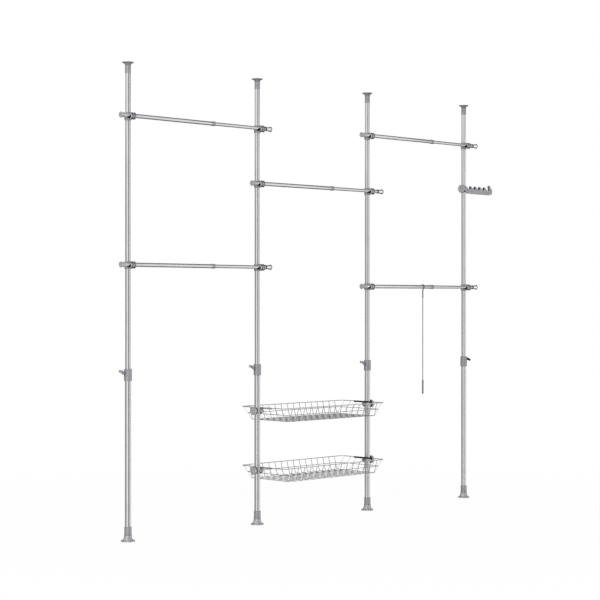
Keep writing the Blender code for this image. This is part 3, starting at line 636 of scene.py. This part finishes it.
def build_posts():
    """The four posts, with the screws of the first three on their left side."""
    sleeve, bell = foot_meshes()
    lower_bore = LOWER_TUBE_RADIUS - LOWER_TUBE_WALL
    upper_bore = UPPER_TUBE_RADIUS - UPPER_TUBE_WALL
    lower = tube_mesh("lower_tube", LOWER_TUBE_RADIUS, lower_bore, *LOWER_TUBE_ENDS)
    upper = tube_mesh("upper_tube", UPPER_TUBE_RADIUS, upper_bore, *UPPER_TUBE_ENDS)
    collar, boss, slit = collar_meshes()
    shank, head = wing_screw_meshes()
    flange, cap_sleeve = top_cap_meshes()
    tilt = Matrix.Rotation(SCREW_TILT, 4, "X")
    for name, x in zip(POST_NAMES, POST_PLACES):
        last = name == "right"
        aside = Matrix.Identity(4) if last else HALF_TURN
        show(f"{name}_foot_sleeve", sleeve, "grey", "foot_" + name, at(x))
        # The bell is drawn paler than the sleeve: painted light on the flare, which faces up.
        show(f"{name}_foot_bell", bell, "pale", "foot_" + name, at(x))
        show(f"{name}_lower_tube", lower, "post", "lower_tube_" + name, at(x))
        show(f"{name}_collar", collar, "grey", "collar_" + name, at(x) @ aside)
        show(f"{name}_collar_boss", boss, "grey", "collar_" + name, at(x) @ aside, stands_for=False)
        # The black strip in the collar's slit is painted shade.
        show(f"{name}_collar_slit", slit, "black", "collar_" + name, at(x) @ aside, stands_for=False)
        show(f"{name}_upper_tube", upper, "post", "upper_tube_" + name, at(x))
        # The flange is drawn in a darker grey than the sleeve: painted shade under the flared flange.
        show(f"{name}_top_cap_flange", flange, "mid", "top_cap_" + name, at(x))
        show(f"{name}_top_cap_sleeve", cap_sleeve, "grey", "top_cap_" + name, at(x))
        place = at(x, 0, SCREW_HEIGHT) @ tilt @ aside
        show(f"{name}_screw_shank", shank, "wire", "wing_screw_" + name, place)
        # The right post's wings are drawn black where the others are grey: painted shade, as they face
        # away from the light.
        show(f"{name}_screw_wings", head, "black" if last else "grey", "wing_screw_" + name, place)


# Rails, made along Z from their left end and laid along X, but the right caps from their own end


def left_cap_mesh():
    """The end cap on a rail's thick tube, with a fine groove round it."""
    neck = 0.0125
    groove = 0.0121
    seat = RAIL_OUTER_RADIUS + 0.0001
    return turned_along_x("rail_left_cap", [
        (0, 0.0006),
        (0.0112, 0.0, 0.002),
        (0.0151, 0.0006, 0.0012),
        (0.0158, 0.0020, 0.0012),
        (0.0155, 0.0044, 0.0014),
        (0.0134, 0.0080, 0.0040),
        (0.0126, 0.0130, 0.0030),
        (neck, 0.0218, 0.0003),
        (groove, 0.0221, 0.0002),
        (groove, 0.0227, 0.0002),
        (neck, 0.0230, 0.0003),
        (0.0123, 0.0372, 0.0004),
        (0.0120, 0.0396, 0.0005),
        (seat, 0.0400, 0.0002),
        (seat, RAIL_CAP_SEAT),
        (0, RAIL_CAP_SEAT),
    ], sides=64)


def right_cap_meshes():
    """The end cap on a rail's thin tube: its body, its flared end and the ring at its mouth."""
    start = 0.0057
    mouth = 0.0364
    body = turned_along_x("rail_right_cap", [
        (0, start),
        (0.0138, start),
        (0.0140, 0.0062, 0.0004),
        (0.0134, 0.0085, 0.0020),
        (0.0120, 0.0150, 0.0080),
        (0.0109, 0.0240, 0.0080),
        (0.0107, 0.0362, 0.0008),
        (0.0096, mouth),
        (0, mouth),
    ], sides=64)
    rim = 0.0150
    end = turned_along_x("rail_right_end", [
        (0, 0.0006),
        (0.0105, 0.0, 0.002),
        (0.0143, 0.0006, 0.0012),
        (rim, 0.0018, 0.0012),
        (rim, 0.0036, 0.0012),
        (0.0143, 0.0055, 0.0006),
        (0, 0.0056),
    ], sides=64)
    inside = 0.0097
    ring_radius = 0.0125
    ring_start = 0.0365
    ring_end = 0.0402
    ring = turned_along_x("rail_right_ring", [
        (inside, ring_start, 0.0002),
        (0.0119, ring_start, 0.0008),
        (ring_radius, 0.0374, 0.0008),
        (ring_radius, 0.0392, 0.0008),
        (0.0117, ring_end, 0.0006),
        (inside, ring_end, 0.0002),
    ], closed=True, sides=64)
    return body, end, ring


def ferrule_mesh():
    """The joint ferrule at the mouth of a rail's thick tube."""
    mouth = OUTER_RAIL_LENGTH
    start = mouth - 0.0220
    outside = RAIL_OUTER_RADIUS + 0.0001
    inside = RAIL_INNER_RADIUS + FIT_GAP
    bead = 0.0130
    waist = 0.0121
    return turned_along_x("rail_ferrule", [
        (outside, start, 0.0002),
        (0.0126, start, 0.0006),
        (bead, mouth - 0.0200, 0.0006),
        (bead, mouth - 0.0180, 0.0005),
        (waist, mouth - 0.0174, 0.0004),
        (waist, mouth - 0.0056, 0.0004),
        (bead, mouth - 0.0050, 0.0005),
        (bead, mouth - 0.0010, 0.0008),
        (waist, mouth, 0.0004),
        (inside, mouth, 0.0002),
        (inside, mouth - 0.0020),
        (outside, mouth - 0.0022),
    ], closed=True, sides=64)


def clamp_meshes(bore):
    """The post collar, core, flanges, saddle and a black piece under the rail of a rail clamp, about the
    rail's height. The black piece is painted shade under the rail, and the core's darker plating is partly
    painted shade in the grooves.
    """
    low = -0.0212
    top = 0.0182
    edge = 0.0178
    wall = 0.0184
    collar = turned("clamp_collar", [
        (UPPER_BORE, low, 0.0004),
        (edge, low, 0.0014),
        (wall, -0.0190, 0.002),
        (wall, 0.0160, 0.002),
        (edge, top, 0.0014),
        (UPPER_BORE, top, 0.0004),
    ], closed=True)
    post = cylinder("clamp_post_bore", UPPER_BORE, -CUTTER_REACH, CUTTER_REACH)
    front = at(y=RAIL_Y)
    lowered = at(y=RAIL_Y, z=-CLAMP_SAG)
    seat = bore + 0.0016
    reach = 0.0160
    # The core is plated darker than the flanges: partly its own plating, partly painted shade in the
    # grooves between them.
    core = turned_along_x(
        "clamp_core",
        [(seat, reach), (edge, reach, 0.0006), (edge, -reach, 0.0006), (seat, -reach)],
        closed=True,
        sides=64,
    )
    core.transform(lowered)
    flanges = []
    for middle, half, radius in CLAMP_FLANGES:
        ring = turned_along_x("clamp_flange", [
            (seat, middle - half, 0.0002),
            (radius - 0.0008, middle - half, 0.0010),
            (radius, middle - half + 0.0012, 0.0012),
            (radius, middle + half - 0.0012, 0.0012),
            (radius - 0.0008, middle + half, 0.0010),
            (seat, middle + half, 0.0002),
        ], closed=True, sides=64)
        ring.transform(lowered)
        flanges.append(cut("clamp_flange", ring, post))
    saddle = block("clamp_saddle", (-0.0150, 0.0150), (-0.0165, 0.0125), 0.0110, 0.0012, corner=0.003)
    saddle.transform(at(y=-0.0185) @ UPRIGHT)
    rail = laid(cylinder("clamp_rail_bore", bore, -CUTTER_REACH, CUTTER_REACH))
    rail.transform(front)
    saddle = cut("clamp_saddle", saddle, post, rail)
    # A black piece round the rail, cut down to its lower half, is painted shade in the gap under the rail
    # beside the post.
    shade_start = -0.0180
    shade_end = -0.0275
    under_rail_shade = turned_along_x("clamp_under_rail_shade", [
        (bore, shade_start),
        (0.0136, shade_start),
        (0.0132, -0.0268, 0.001),
        (bore + 0.0004, shade_end, 0.0004),
        (bore, shade_end),
    ], closed=True, sides=64)
    under_rail_shade.transform(front)
    above = block("clamp_under_rail_shade_cut", (-0.04, 0), (-0.02, 0.02), 0.0200, 0.0001)
    above.transform(at(y=RAIL_Y, z=0.0085))
    return {
        "collar": (collar, "grey"),
        "core": (cut("clamp_core", core, post), "dim"),
        "under_rail_shade": (cut("clamp_under_rail_shade", under_rail_shade, above), "black"),
        "flanges": (joined("clamp_flanges", flanges), "plated"),
        "saddle": (saddle, "mid"),
    }


def build_rails():
    """The five rails, each with its two clamps."""
    outer_bore = RAIL_OUTER_RADIUS - RAIL_WALL
    inner_bore = RAIL_INNER_RADIUS - RAIL_WALL
    thick_end = OUTER_RAIL_LENGTH - 0.0004
    thin_start = RAIL_LENGTH - INNER_RAIL_LENGTH
    thin_end = RAIL_LENGTH - RAIL_CAP_SEAT
    thick = laid(tube_mesh("outer_rail_tube", RAIL_OUTER_RADIUS, outer_bore, RAIL_CAP_SEAT, thick_end))
    thin = laid(tube_mesh("inner_rail_tube", RAIL_INNER_RADIUS, inner_bore, thin_start, thin_end))
    left_cap = left_cap_mesh()
    right_cap, right_end, right_ring = right_cap_meshes()
    ferrule = ferrule_mesh()
    clamps = {
        "left": clamp_meshes(RAIL_OUTER_RADIUS + FIT_GAP),
        "right": clamp_meshes(RAIL_INNER_RADIUS + FIT_GAP),
    }
    for name, post, height, shift in RAILS:
        overhang = (RAIL_LENGTH - (POST_PLACES[post + 1] - POST_PLACES[post])) / 2
        start = at(POST_PLACES[post] - overhang + shift, RAIL_Y, height)
        end = start @ at(RAIL_LENGTH) @ HALF_TURN
        outer = name + "_outer_tube"
        inner = name + "_inner_tube"
        show(name + "_thick_tube", thick, "rail", outer, start)
        show(name + "_left_cap", left_cap, "pale", outer, start)
        show(name + "_ferrule", ferrule, "grey", outer, start)
        show(name + "_thin_tube", thin, "rail", inner, start)
        show(name + "_right_cap", right_cap, "bright", inner, end)
        show(name + "_right_end", right_end, "core", inner, end)
        show(name + "_right_ring", right_ring, "core", inner, end)
        for side, x in (("left", POST_PLACES[post]), ("right", POST_PLACES[post + 1])):
            node = f"{name}_{side}_clamp"
            for piece, (mesh, look) in clamps[side].items():
                show(f"{node}_{piece}", mesh, look, node, at(x, 0, height))


# Baskets, about the middle of the rim


def loop_points(length, depth, corner, height):
    """A level loop with rounded corners."""
    x = length / 2
    y = depth / 2
    corners = [(x, y), (-x, y), (-x, -y), (x, -y)]
    return rounded([(*place, height, corner) for place in corners], 10, closed=True)


def basket_line(reach, rise, flat, floor, bend):
    """A wire's (distance, height, rounding) points: down from the rim, along the floor and up again."""
    return [(-reach, rise, 0), (-flat, floor, bend), (flat, floor, bend), (reach, rise, 0)]


def basket_meshes():
    """The rim, the wires across with the one round the middle height, and the long wires."""
    floor = -0.0735
    long_floor = floor - 0.0003
    cross_pitch = 0.0489
    long_pitch = 0.0497
    cross_each_side = 7
    long_each_side = 3
    rim_loop = loop_points(BASKET_LENGTH, BASKET_DEPTH, 0.026, 0)
    middle_loop = loop_points(BASKET_LENGTH - 0.063, BASKET_DEPTH - 0.021, 0.024, floor / 2)
    rim = swept("basket_rim", rim_loop, 0.0023, closed=True, sides=18)
    cross = [swept("basket_middle", middle_loop, 0.0015, closed=True)]
    for i in range(-cross_each_side, cross_each_side + 1):
        x = i * cross_pitch
        line = [(x, *point) for point in basket_line(0.1702, -0.0005, 0.149, floor, 0.011)]
        cross.append(swept("basket_cross", rounded(line, 6), 0.0016))
    along = []
    for i in range(-long_each_side, long_each_side + 1):
        y = i * long_pitch
        line = [(x, y, *point) for x, *point in basket_line(0.4078, -0.0008, 0.3449, long_floor, 0.014)]
        along.append(swept("basket_along", rounded(line, 6), 0.0011))
    return rim, joined("basket_cross_wires", cross), joined("basket_long_wires", along)


def bracket_meshes():
    """A bracket with the basket on its +X side, about the rim's height on the post's axis."""
    middle = -BRACKET_DROP
    barrel_back = -0.0140
    barrel_front = 0.0300
    barrel_radius = 0.0181
    barrel = turned_along_x("bracket_barrel", [
        (0, barrel_back),
        (barrel_radius, barrel_back),
        (barrel_radius, 0.0190, 0.0020),
        (0.0176, 0.0260, 0.0030),
        (0.0158, barrel_front, 0.0020),
        (0, barrel_front),
    ], sides=96)
    barrel.transform(at(z=middle))
    ring_back = -0.0196
    ring_front = -0.0141
    ring = turned_along_x("bracket_ring", [
        (0, ring_back),
        (0.0176, ring_back, 0.001),
        (0.0194, -0.0186, 0.002),
        (0.0196, -0.0160, 0.002),
        (0.0190, ring_front, 0.001),
        (0, ring_front),
    ], sides=96)
    ring.transform(at(z=middle))
    post = cylinder("bracket_post_bore", LOWER_BORE, -0.06, 0.04)
    hole = laid(cylinder("bracket_hole", 0.0041, 0, 0.030, sides=32))
    hole.transform(at(z=middle) @ HALF_TURN)
    shelf_back = 0.0165
    shelf_front = 0.0318
    shelf = plate("bracket_shelf", [
        (shelf_back, -0.0090, 0.001),
        (shelf_front, -0.0120, 0.002),
        (shelf_front, 0.0120, 0.002),
        (shelf_back, 0.0090, 0.001),
    ], 0.0050, 0.0008)
    shelf.transform(at(z=-0.0040))
    strip = block("bracket_strip", (0.0319, 0.0333), (-0.0712, 0.0712), 0.0092, 0.0004, corner=0.0005)
    strip.transform(at(z=-0.0018))
    pad_back = 0.0334
    pad_front = 0.0406
    pad_top = 0.0028
    pad_low = -0.0064
    pad = plate("bracket_pad", [
        (pad_back, pad_top, 0.0012),
        (pad_front, pad_top, 0.0016),
        (pad_front, pad_low, 0.0016),
        (pad_back, pad_low, 0.0012),
    ], 0.1440, 0.0018)
    pad.transform(UPRIGHT)
    wire = cylinder("rim_bore", 0.0024, -0.08, 0.08, sides=32)
    wire.transform(at(RIM_INSET) @ UPRIGHT)
    return {
        "barrel": (cut("bracket_barrel", barrel, post), "screw"),
        "ring": (cut("bracket_ring", ring, post, hole), "core"),
        "shelf": (cut("bracket_shelf", shelf, post), "plated"),
        "strip": (strip, "pale"),
        "pad": (cut("bracket_pad", pad, wire), "black"),
    }


def fluted(mesh, beyond, count, depth):
    """The mesh with shallow flutes round whatever of it is beyond a radius."""
    bm = bmesh.new()
    bm.from_mesh(mesh)
    for vert in bm.verts:
        radius = math.hypot(vert.co.x, vert.co.y)
        if radius > beyond:
            dip = 0.5 - 0.5 * math.cos(math.atan2(vert.co.y, vert.co.x) * count)
            scale = 1 - depth * dip / radius
            vert.co.x *= scale
            vert.co.y *= scale
    bm.to_mesh(mesh)
    bm.free()
    return mesh


def knob_meshes():
    """A knob along +X: a shallow cup with a fluted rim, a black flange behind it as painted shade, and its
    screw.
    """
    centre = 0.0358
    back = 0.0225
    face = turned("knob_face", [
        (0, centre),
        (0.0110, centre, 0.002),
        (0.0140, 0.0344, 0.002),
        (0.0178, 0.0346, 0.003),
        (0.0212, 0.0361, 0.0020),
        (0.0226, 0.0348, 0.0020),
        (0.0229, 0.0290, 0.0020),
        (0.0226, 0.0240, 0.0020),
        (0.0206, 0.0226, 0.0020),
        (0.0176, back, 0.0004),
        (0, back),
    ], sides=144, steps=7)
    face = fluted(face, beyond=0.0218, count=24, depth=0.00014)
    # The black flange is painted shade in the gap between the knob and the barrel.
    flange_front = 0.0224
    flange_back = 0.0199
    flange = turned_along_x("knob_neck", [
        (0, flange_front),
        (0.0212, flange_front, 0.0004),
        (0.0216, 0.0214, 0.0006),
        (0.0212, flange_back, 0.0006),
        (0, flange_back),
    ], sides=96)
    shank_front = 0.0200
    shank_tip = 0.0163
    shank_radius = 0.0035
    shank = turned_along_x("knob_shank", [
        (0, shank_front),
        (shank_radius, shank_front),
        (shank_radius, 0.0168, 0.0004),
        (0.0030, shank_tip),
        (0, shank_tip),
    ], sides=32)
    return {"face": (laid(face), "pale"), "neck": (flange, "black"), "shank": (shank, "wire")}


def build_baskets():
    """The two baskets, each with its two brackets and their knobs."""
    rim, cross, along = basket_meshes()
    bracket = bracket_meshes()
    knob_parts = knob_meshes()
    left = POST_PLACES[1]
    right = POST_PLACES[2]
    for name, height in BASKETS:
        middle = at((left + right) / 2, 0, height)
        show(name + "_rim", rim, "rim", name, middle)
        show(name + "_cross_wires", cross, "wire", name, middle)
        # The long wires are drawn in the rim's brighter silver, the cross wires in a darker one: painted
        # light on the long wires' tops.
        show(name + "_long_wires", along, "rim", name, middle)
        for side, x, turn in (("left", left, Matrix.Identity(4)), ("right", right, HALF_TURN)):
            node = f"{name}_{side}_bracket"
            for piece, (mesh, look) in bracket.items():
                show(f"{node}_{piece}", mesh, look, node, at(x, 0, height) @ turn)
            knob = f"{name}_{side}_knob"
            place = at(x, 0, height - BRACKET_DROP) @ turn @ HALF_TURN
            for piece, (mesh, look) in knob_parts.items():
                show(f"{knob}_{piece}", mesh, look, knob, place)


# Hook arm, about the middle of its round clamp


def valley_height(x):
    """The height of the arm's notches, which slope down a little towards its end."""
    return VALLEY_TOP - VALLEY_SLOPE * (x - VALLEY_START)


def tooth_points(x, top, deeper):
    """One tooth of the arm and the valley after it, from the foot of the tooth's inner side."""
    valley_end = x + 0.0340
    return [
        (x + 0.0006, valley_height(x) - deeper, 0.0015),
        (x + 0.0020, top - 0.0080, 0.003),
        (x - 0.0030, top - 0.0035, 0.0022),
        (x, top, 0.003),
        (x + 0.0085, top, 0.003),
        (x + 0.0125, top - 0.0035, 0.004),
        (valley_end, valley_height(valley_end), 0.006),
    ]


def end_points(x, top):
    """The arm's tall end tooth, its rounded tip and its underside."""
    return [
        (x, valley_height(x), 0.0015),
        (x + 0.0024, top - 0.0150, 0.004),
        (x - 0.0030, top - 0.0065, 0.0025),
        (x + 0.0002, top, 0.004),
        (x + 0.0085, top, 0.004),
        (x + 0.0120, top - 0.0065, 0.005),
        (0.2740, 0.0072, 0.010),
        (0.2770, -0.0008, 0.006),
        (0.2756, -0.0200, 0.010),
        (0.2650, -0.0266, 0.012),
        (0.2380, -0.0290, 0.020),
        (0.1200, -0.0286, 0.050),
    ]


def tooth_shade_mesh(x, low, high):
    """The black pad on the inner side of a tooth, painted shade where that face is in shadow, from a low
    to a high point.
    """
    corners = [
        (x - 0.0012, low, 0.001),
        (x - 0.0018, high, 0.001),
        (x + 0.0024, high, 0.001),
        (x + 0.0044, (low + high) / 2, 0.002),
        (x + 0.0040, low, 0.002),
    ]
    pad = plate("hook_arm_tooth_shade", corners, 0.0122, 0.0008)
    pad.transform(UPRIGHT)
    return pad


def arm_meshes():
    """The arm along +X with its teeth up, and the black pads in its notches, which are painted shade."""
    root = 0.0218
    teeth = [FIRST_TOOTH + i * TOOTH_PITCH for i in range(TOOTH_COUNT)]
    points = [
        (root, -0.0262, 0.002),
        (root, 0.0135, 0.004),
        (VALLEY_START, valley_height(VALLEY_START), 0.006),
    ]
    for x in teeth:
        points += tooth_points(x, TOOTH_TOP, 0.0050 if x == teeth[-1] else 0.0030)
    points += end_points(END_TOOTH, END_TOOTH_TOP)
    arm = plate("hook_arm_plate", points, 0.0116, 0.0020, steps=6, segments=4)
    arm.transform(UPRIGHT)
    places = [(x, 0.0032, 0.0147) for x in teeth]
    places += [(0.2466, 0.0032, 0.0112), (0.2446, 0.0162, 0.0247)]
    return arm, joined("hook_arm_tooth_shades", [tooth_shade_mesh(*place) for place in places])


def drum_meshes():
    """The round drum beside the post and the ring that swivels round its bush, with one slot in both."""
    drum_back = 0.0020
    drum_radius = 0.0257
    drum_inside = -0.0230
    drum = turned_along_x("hook_drum", [
        (0, drum_back),
        (0.0237, drum_back, 0.002),
        (drum_radius, -0.0002, 0.002),
        (drum_radius, -0.0252, 0.003),
        (0.0224, -0.0280, 0.002),
        (0.0165, -0.0240, 0.0006),
        (0.0158, drum_inside, 0.0006),
        (0, drum_inside),
    ], sides=96)
    swivel_radius = 0.0215
    swivel = turned("hook_swivel_ring", [
        (0, SWIVEL_LOW),
        (0.0200, SWIVEL_LOW, 0.001),
        (swivel_radius, -0.0185, 0.002),
        (swivel_radius, 0.0132, 0.002),
        (0.0197, SWIVEL_TOP, 0.001),
        (0, SWIVEL_TOP),
    ], sides=96)
    post = cylinder("drum_bore", 0.0176, -CUTTER_REACH, CUTTER_REACH)
    slot = block("drum_slot", (0.010, 0.035), (-0.0050, 0.0050), 0.0085, 0.0005)
    slot.transform(at(z=-0.0156) @ Matrix.Rotation(math.radians(233), 4, "Z"))
    return cut("hook_drum", drum, post, slot), cut("hook_swivel_ring", swivel, post, slot)


def build_hook_arm():
    """The arm on the right post, with its clamp and the liner in that."""
    place = at(POST_PLACES[3], 0, HOOK_HEIGHT)
    bush = tube_mesh("hook_bush_liner", 0.0171, UPPER_BORE, SWIVEL_LOW, SWIVEL_TOP)
    drum, swivel = drum_meshes()
    show("hook_liner", bush, "black", "hook_bush", place)
    show("hook_drum", drum, "arm", "hook_clamp", place)
    show("hook_swivel_ring", swivel, "arm", "hook_clamp", place)
    arm, tooth_shades = arm_meshes()
    show("hook_arm_plate", arm, "arm", "hook_arm", place)
    # The black pads are painted shade on the teeth's inner sides.
    show("hook_arm_tooth_shades", tooth_shades, "black", "hook_arm", place, stands_for=False)


# Hanging rod, about the rail's axis


def rod_hook_mesh():
    """The snap hook round the rail, and the ferrule under it."""
    ring = RAIL_OUTER_RADIUS + 0.0006 + ROD_CLIP_WIRE
    sweep = math.radians(255)
    steps = 40
    points = []
    for i in range(steps + 1):
        angle = -math.pi / 2 - sweep * i / steps
        points.append(Vector((0, ring * math.cos(angle), ring * math.sin(angle) - 0.0003)))
    clip = swept("rod_clip", points, ROD_CLIP_WIRE, sides=20)
    wall = 0.0046
    groove = 0.0042
    end = -ring - 0.0530
    ferrule = turned("rod_ferrule", [
        (0, -ring),
        (ROD_CLIP_WIRE, -ring, 0.001),
        (wall, -ring - 0.0040, 0.002),
        (wall, -ring - 0.0160, 0.0004),
        (groove, -ring - 0.0165, 0.0003),
        (groove, -ring - 0.0180, 0.0003),
        (wall, -ring - 0.0185, 0.0004),
        (wall, -ring - 0.0520, 0.0010),
        (0.0034, end, 0.0004),
        (0, end),
    ], sides=40)
    return joined("rod_hook_body", [clip, ferrule])


def rod_grip_mesh():
    """The ribbed grip at the rod's lower end."""
    mouth = -0.5630
    rib_radius = 0.0053
    ribs = ribbed(rib_radius, 0.0005, mouth - 0.0060, -0.0040, 16, 0.0006)
    return turned("rod_grip_body", [
        (0, mouth),
        (0.0036, mouth, 0.0006),
        (0.0050, mouth - 0.0030, 0.0012),
        *ribs,
        (rib_radius, mouth - 0.0775, 0.001),
        (0.0048, mouth - 0.0840, 0.002),
        (0, mouth - 0.0855),
    ], sides=40, steps=3)


def build_rod():
    """The rod on the low right rail."""
    hook = rod_hook_mesh()
    shaft = cylinder("rod_shaft_bar", ROD_RADIUS, -0.5830, -0.0472, sides=32)
    grip = rod_grip_mesh()
    place = at(*ROD_PLACE)
    show("rod_hook_piece", hook, "grey", "rod_hook", place)
    show("rod_bar", shaft, "wire", "rod_shaft", place)
    show("rod_handle", grip, "mid", "rod_grip", place)


# Surroundings


def white_ray(tree):
    """1 for rays that see the background: camera, glossy and transmission rays."""
    path = tree.nodes.new("ShaderNodeLightPath")
    total = path.outputs["Is Camera Ray"]
    for name in ("Is Glossy Ray", "Is Transmission Ray"):
        add = tree.nodes.new("ShaderNodeMath")
        add.operation = "MAXIMUM"
        tree.links.new(total, add.inputs[0])
        tree.links.new(path.outputs[name], add.inputs[1])
        total = add.outputs[0]
    return total


def white_light(tree, level):
    """A white background shader, at one level of brightness."""
    made = tree.nodes.new("ShaderNodeBackground")
    made.inputs["Color"].default_value = (1, 1, 1, 1)
    made.inputs["Strength"].default_value = level
    return made.outputs[0]


def build_world(level):
    """A white background that lights the rack at a level of its own."""
    world = bpy.data.worlds.new("studio")
    bpy.context.scene.world = world
    world.use_nodes = True
    tree = world.node_tree
    tree.nodes.clear()
    seen = white_light(tree, 1.0)
    light = white_light(tree, level)
    mix = tree.nodes.new("ShaderNodeMixShader")
    out = tree.nodes.new("ShaderNodeOutputWorld")
    tree.links.new(white_ray(tree), mix.inputs["Fac"])
    tree.links.new(light, mix.inputs[1])
    tree.links.new(seen, mix.inputs[2])
    tree.links.new(mix.outputs[0], out.inputs["Surface"])


def floor_material():
    """A matt floor that fades into the white background away from the rack."""
    made, tree, shader = shader_of("pale_floor")
    shader.inputs["Base Color"].default_value = (0.80, 0.80, 0.80, 1)
    shader.inputs["Roughness"].default_value = 0.9
    shader.inputs["Specular IOR Level"].default_value = 0.0
    glow = tree.nodes.new("ShaderNodeEmission")
    glow.inputs["Strength"].default_value = 1.0
    coords = tree.nodes.new("ShaderNodeTexCoord")
    reach = tree.nodes.new("ShaderNodeVectorMath")
    reach.operation = "LENGTH"
    fade = tree.nodes.new("ShaderNodeMapRange")
    fade.inputs["From Min"].default_value = FADE_START
    fade.inputs["From Max"].default_value = FADE_END
    fade.inputs["To Min"].default_value = FLOOR_WHITENESS
    fade.inputs["To Max"].default_value = 1.0
    share = tree.nodes.new("ShaderNodeMath")
    share.operation = "MULTIPLY"
    mix = tree.nodes.new("ShaderNodeMixShader")
    tree.links.new(coords.outputs["Object"], reach.inputs[0])
    tree.links.new(reach.outputs["Value"], fade.inputs["Value"])
    tree.links.new(white_ray(tree), share.inputs[0])
    tree.links.new(fade.outputs["Result"], share.inputs[1])
    tree.links.new(share.outputs[0], mix.inputs["Fac"])
    tree.links.new(shader.outputs[0], mix.inputs[1])
    tree.links.new(glow.outputs[0], mix.inputs[2])
    tree.links.new(mix.outputs[0], tree.nodes["Material Output"].inputs["Surface"])
    return made


def build_floor():
    """The floor, just under the feet."""
    made = floor_material()
    bm = bmesh.new()
    bmesh.ops.create_grid(bm, x_segments=2, y_segments=2, size=30)
    mesh = mesh_of("floor", bm)
    mesh.materials.append(made)
    floor = linked("floor", mesh)
    floor.location = (1.3, 0, -0.0004)
    floor.visible_glossy = False


def card_object(name, bm, level):
    """A studio card that only shiny surfaces see, at one level of brightness."""
    made = bpy.data.materials.new(name)
    made.use_nodes = True
    tree = made.node_tree
    tree.nodes.clear()
    glow = tree.nodes.new("ShaderNodeEmission")
    glow.inputs["Color"].default_value = (level, level, level, 1)
    out = tree.nodes.new("ShaderNodeOutputMaterial")
    tree.links.new(glow.outputs[0], out.inputs["Surface"])
    mesh = mesh_of(name, bm)
    mesh.materials.append(made)
    card = linked(name, mesh)
    card.visible_camera = False
    card.visible_diffuse = False
    card.visible_shadow = False
    card.visible_transmission = False


def build_card(name, turns, lifts, level):
    """A far card, between two directions round the rack and two elevations, in degrees."""
    bm = bmesh.new()
    steps = 16
    centre_x, centre_z = CARD_CENTRE
    grid = []
    for i in range(steps + 1):
        row = []
        for k in range(steps + 1):
            turn = math.radians(turns[0] + (turns[1] - turns[0]) * i / steps)
            lift = math.radians(lifts[0] + (lifts[1] - lifts[0]) * k / steps)
            flat = CARD_DISTANCE * math.cos(lift)
            x = centre_x + flat * math.cos(turn)
            z = centre_z + CARD_DISTANCE * math.sin(lift)
            row.append(bm.verts.new((x, flat * math.sin(turn), z)))
        grid.append(row)
    for i in range(steps):
        for k in range(steps):
            bm.faces.new((grid[i][k], grid[i + 1][k], grid[i + 1][k + 1], grid[i][k + 1]))
    card_object(name, bm, level)


def build_near_card(name, across, depth, heights, level):
    """An upright card in front of the rack, so each post sees it at a direction of its own."""
    bm = bmesh.new()
    low, high = heights
    corners = [(across[0], low), (across[1], low), (across[1], high), (across[0], high)]
    bm.faces.new([bm.verts.new((x, depth, z)) for x, z in corners])
    card_object(name, bm, level)


def build_lamp(name, place, target, size, power):
    """A rectangular lamp that points at a target."""
    data = bpy.data.lights.new(name, "AREA")
    data.shape = "RECTANGLE"
    data.size = size[0]
    data.size_y = size[1]
    data.energy = power
    lamp = linked(name, data)
    lamp.location = place
    lamp.visible_glossy = False
    lamp.rotation_euler = (Vector(target) - Vector(place)).to_track_quat("-Z", "Y").to_euler()


def build_camera():
    """The camera of the reference view."""
    data = bpy.data.cameras.new("camera")
    data.sensor_fit = "HORIZONTAL"
    data.angle = 2 * math.atan(HALF_PHOTO_PIXELS / FOCAL_PIXELS)
    data.clip_end = 100
    camera = linked("camera", data)
    camera.location = CAMERA_PLACE
    camera.rotation_euler = (math.pi / 2, 0, CAMERA_TURN)
    bpy.context.scene.camera = camera


def build_surroundings():
    """The studio: background, floor, cards and lamp."""
    build_world(WORLD_LEVEL)
    build_floor()
    for card in FAR_CARDS:
        build_card(*card)
    build_near_card("dark_front_card", (-2.4, 1.3), -4.3, (-3.0, 6.0), 0.26)
    build_lamp("key_lamp", (-4.5, -4.5, 2.6), (1.3, 0, 1.2), (2.5, 2.5), 330)
    bpy.context.scene.view_settings.view_transform = "Standard"


def main():
    build_posts()
    build_rails()
    build_baskets()
    build_hook_arm()
    build_rod()
    build_camera()
    build_surroundings()


main()
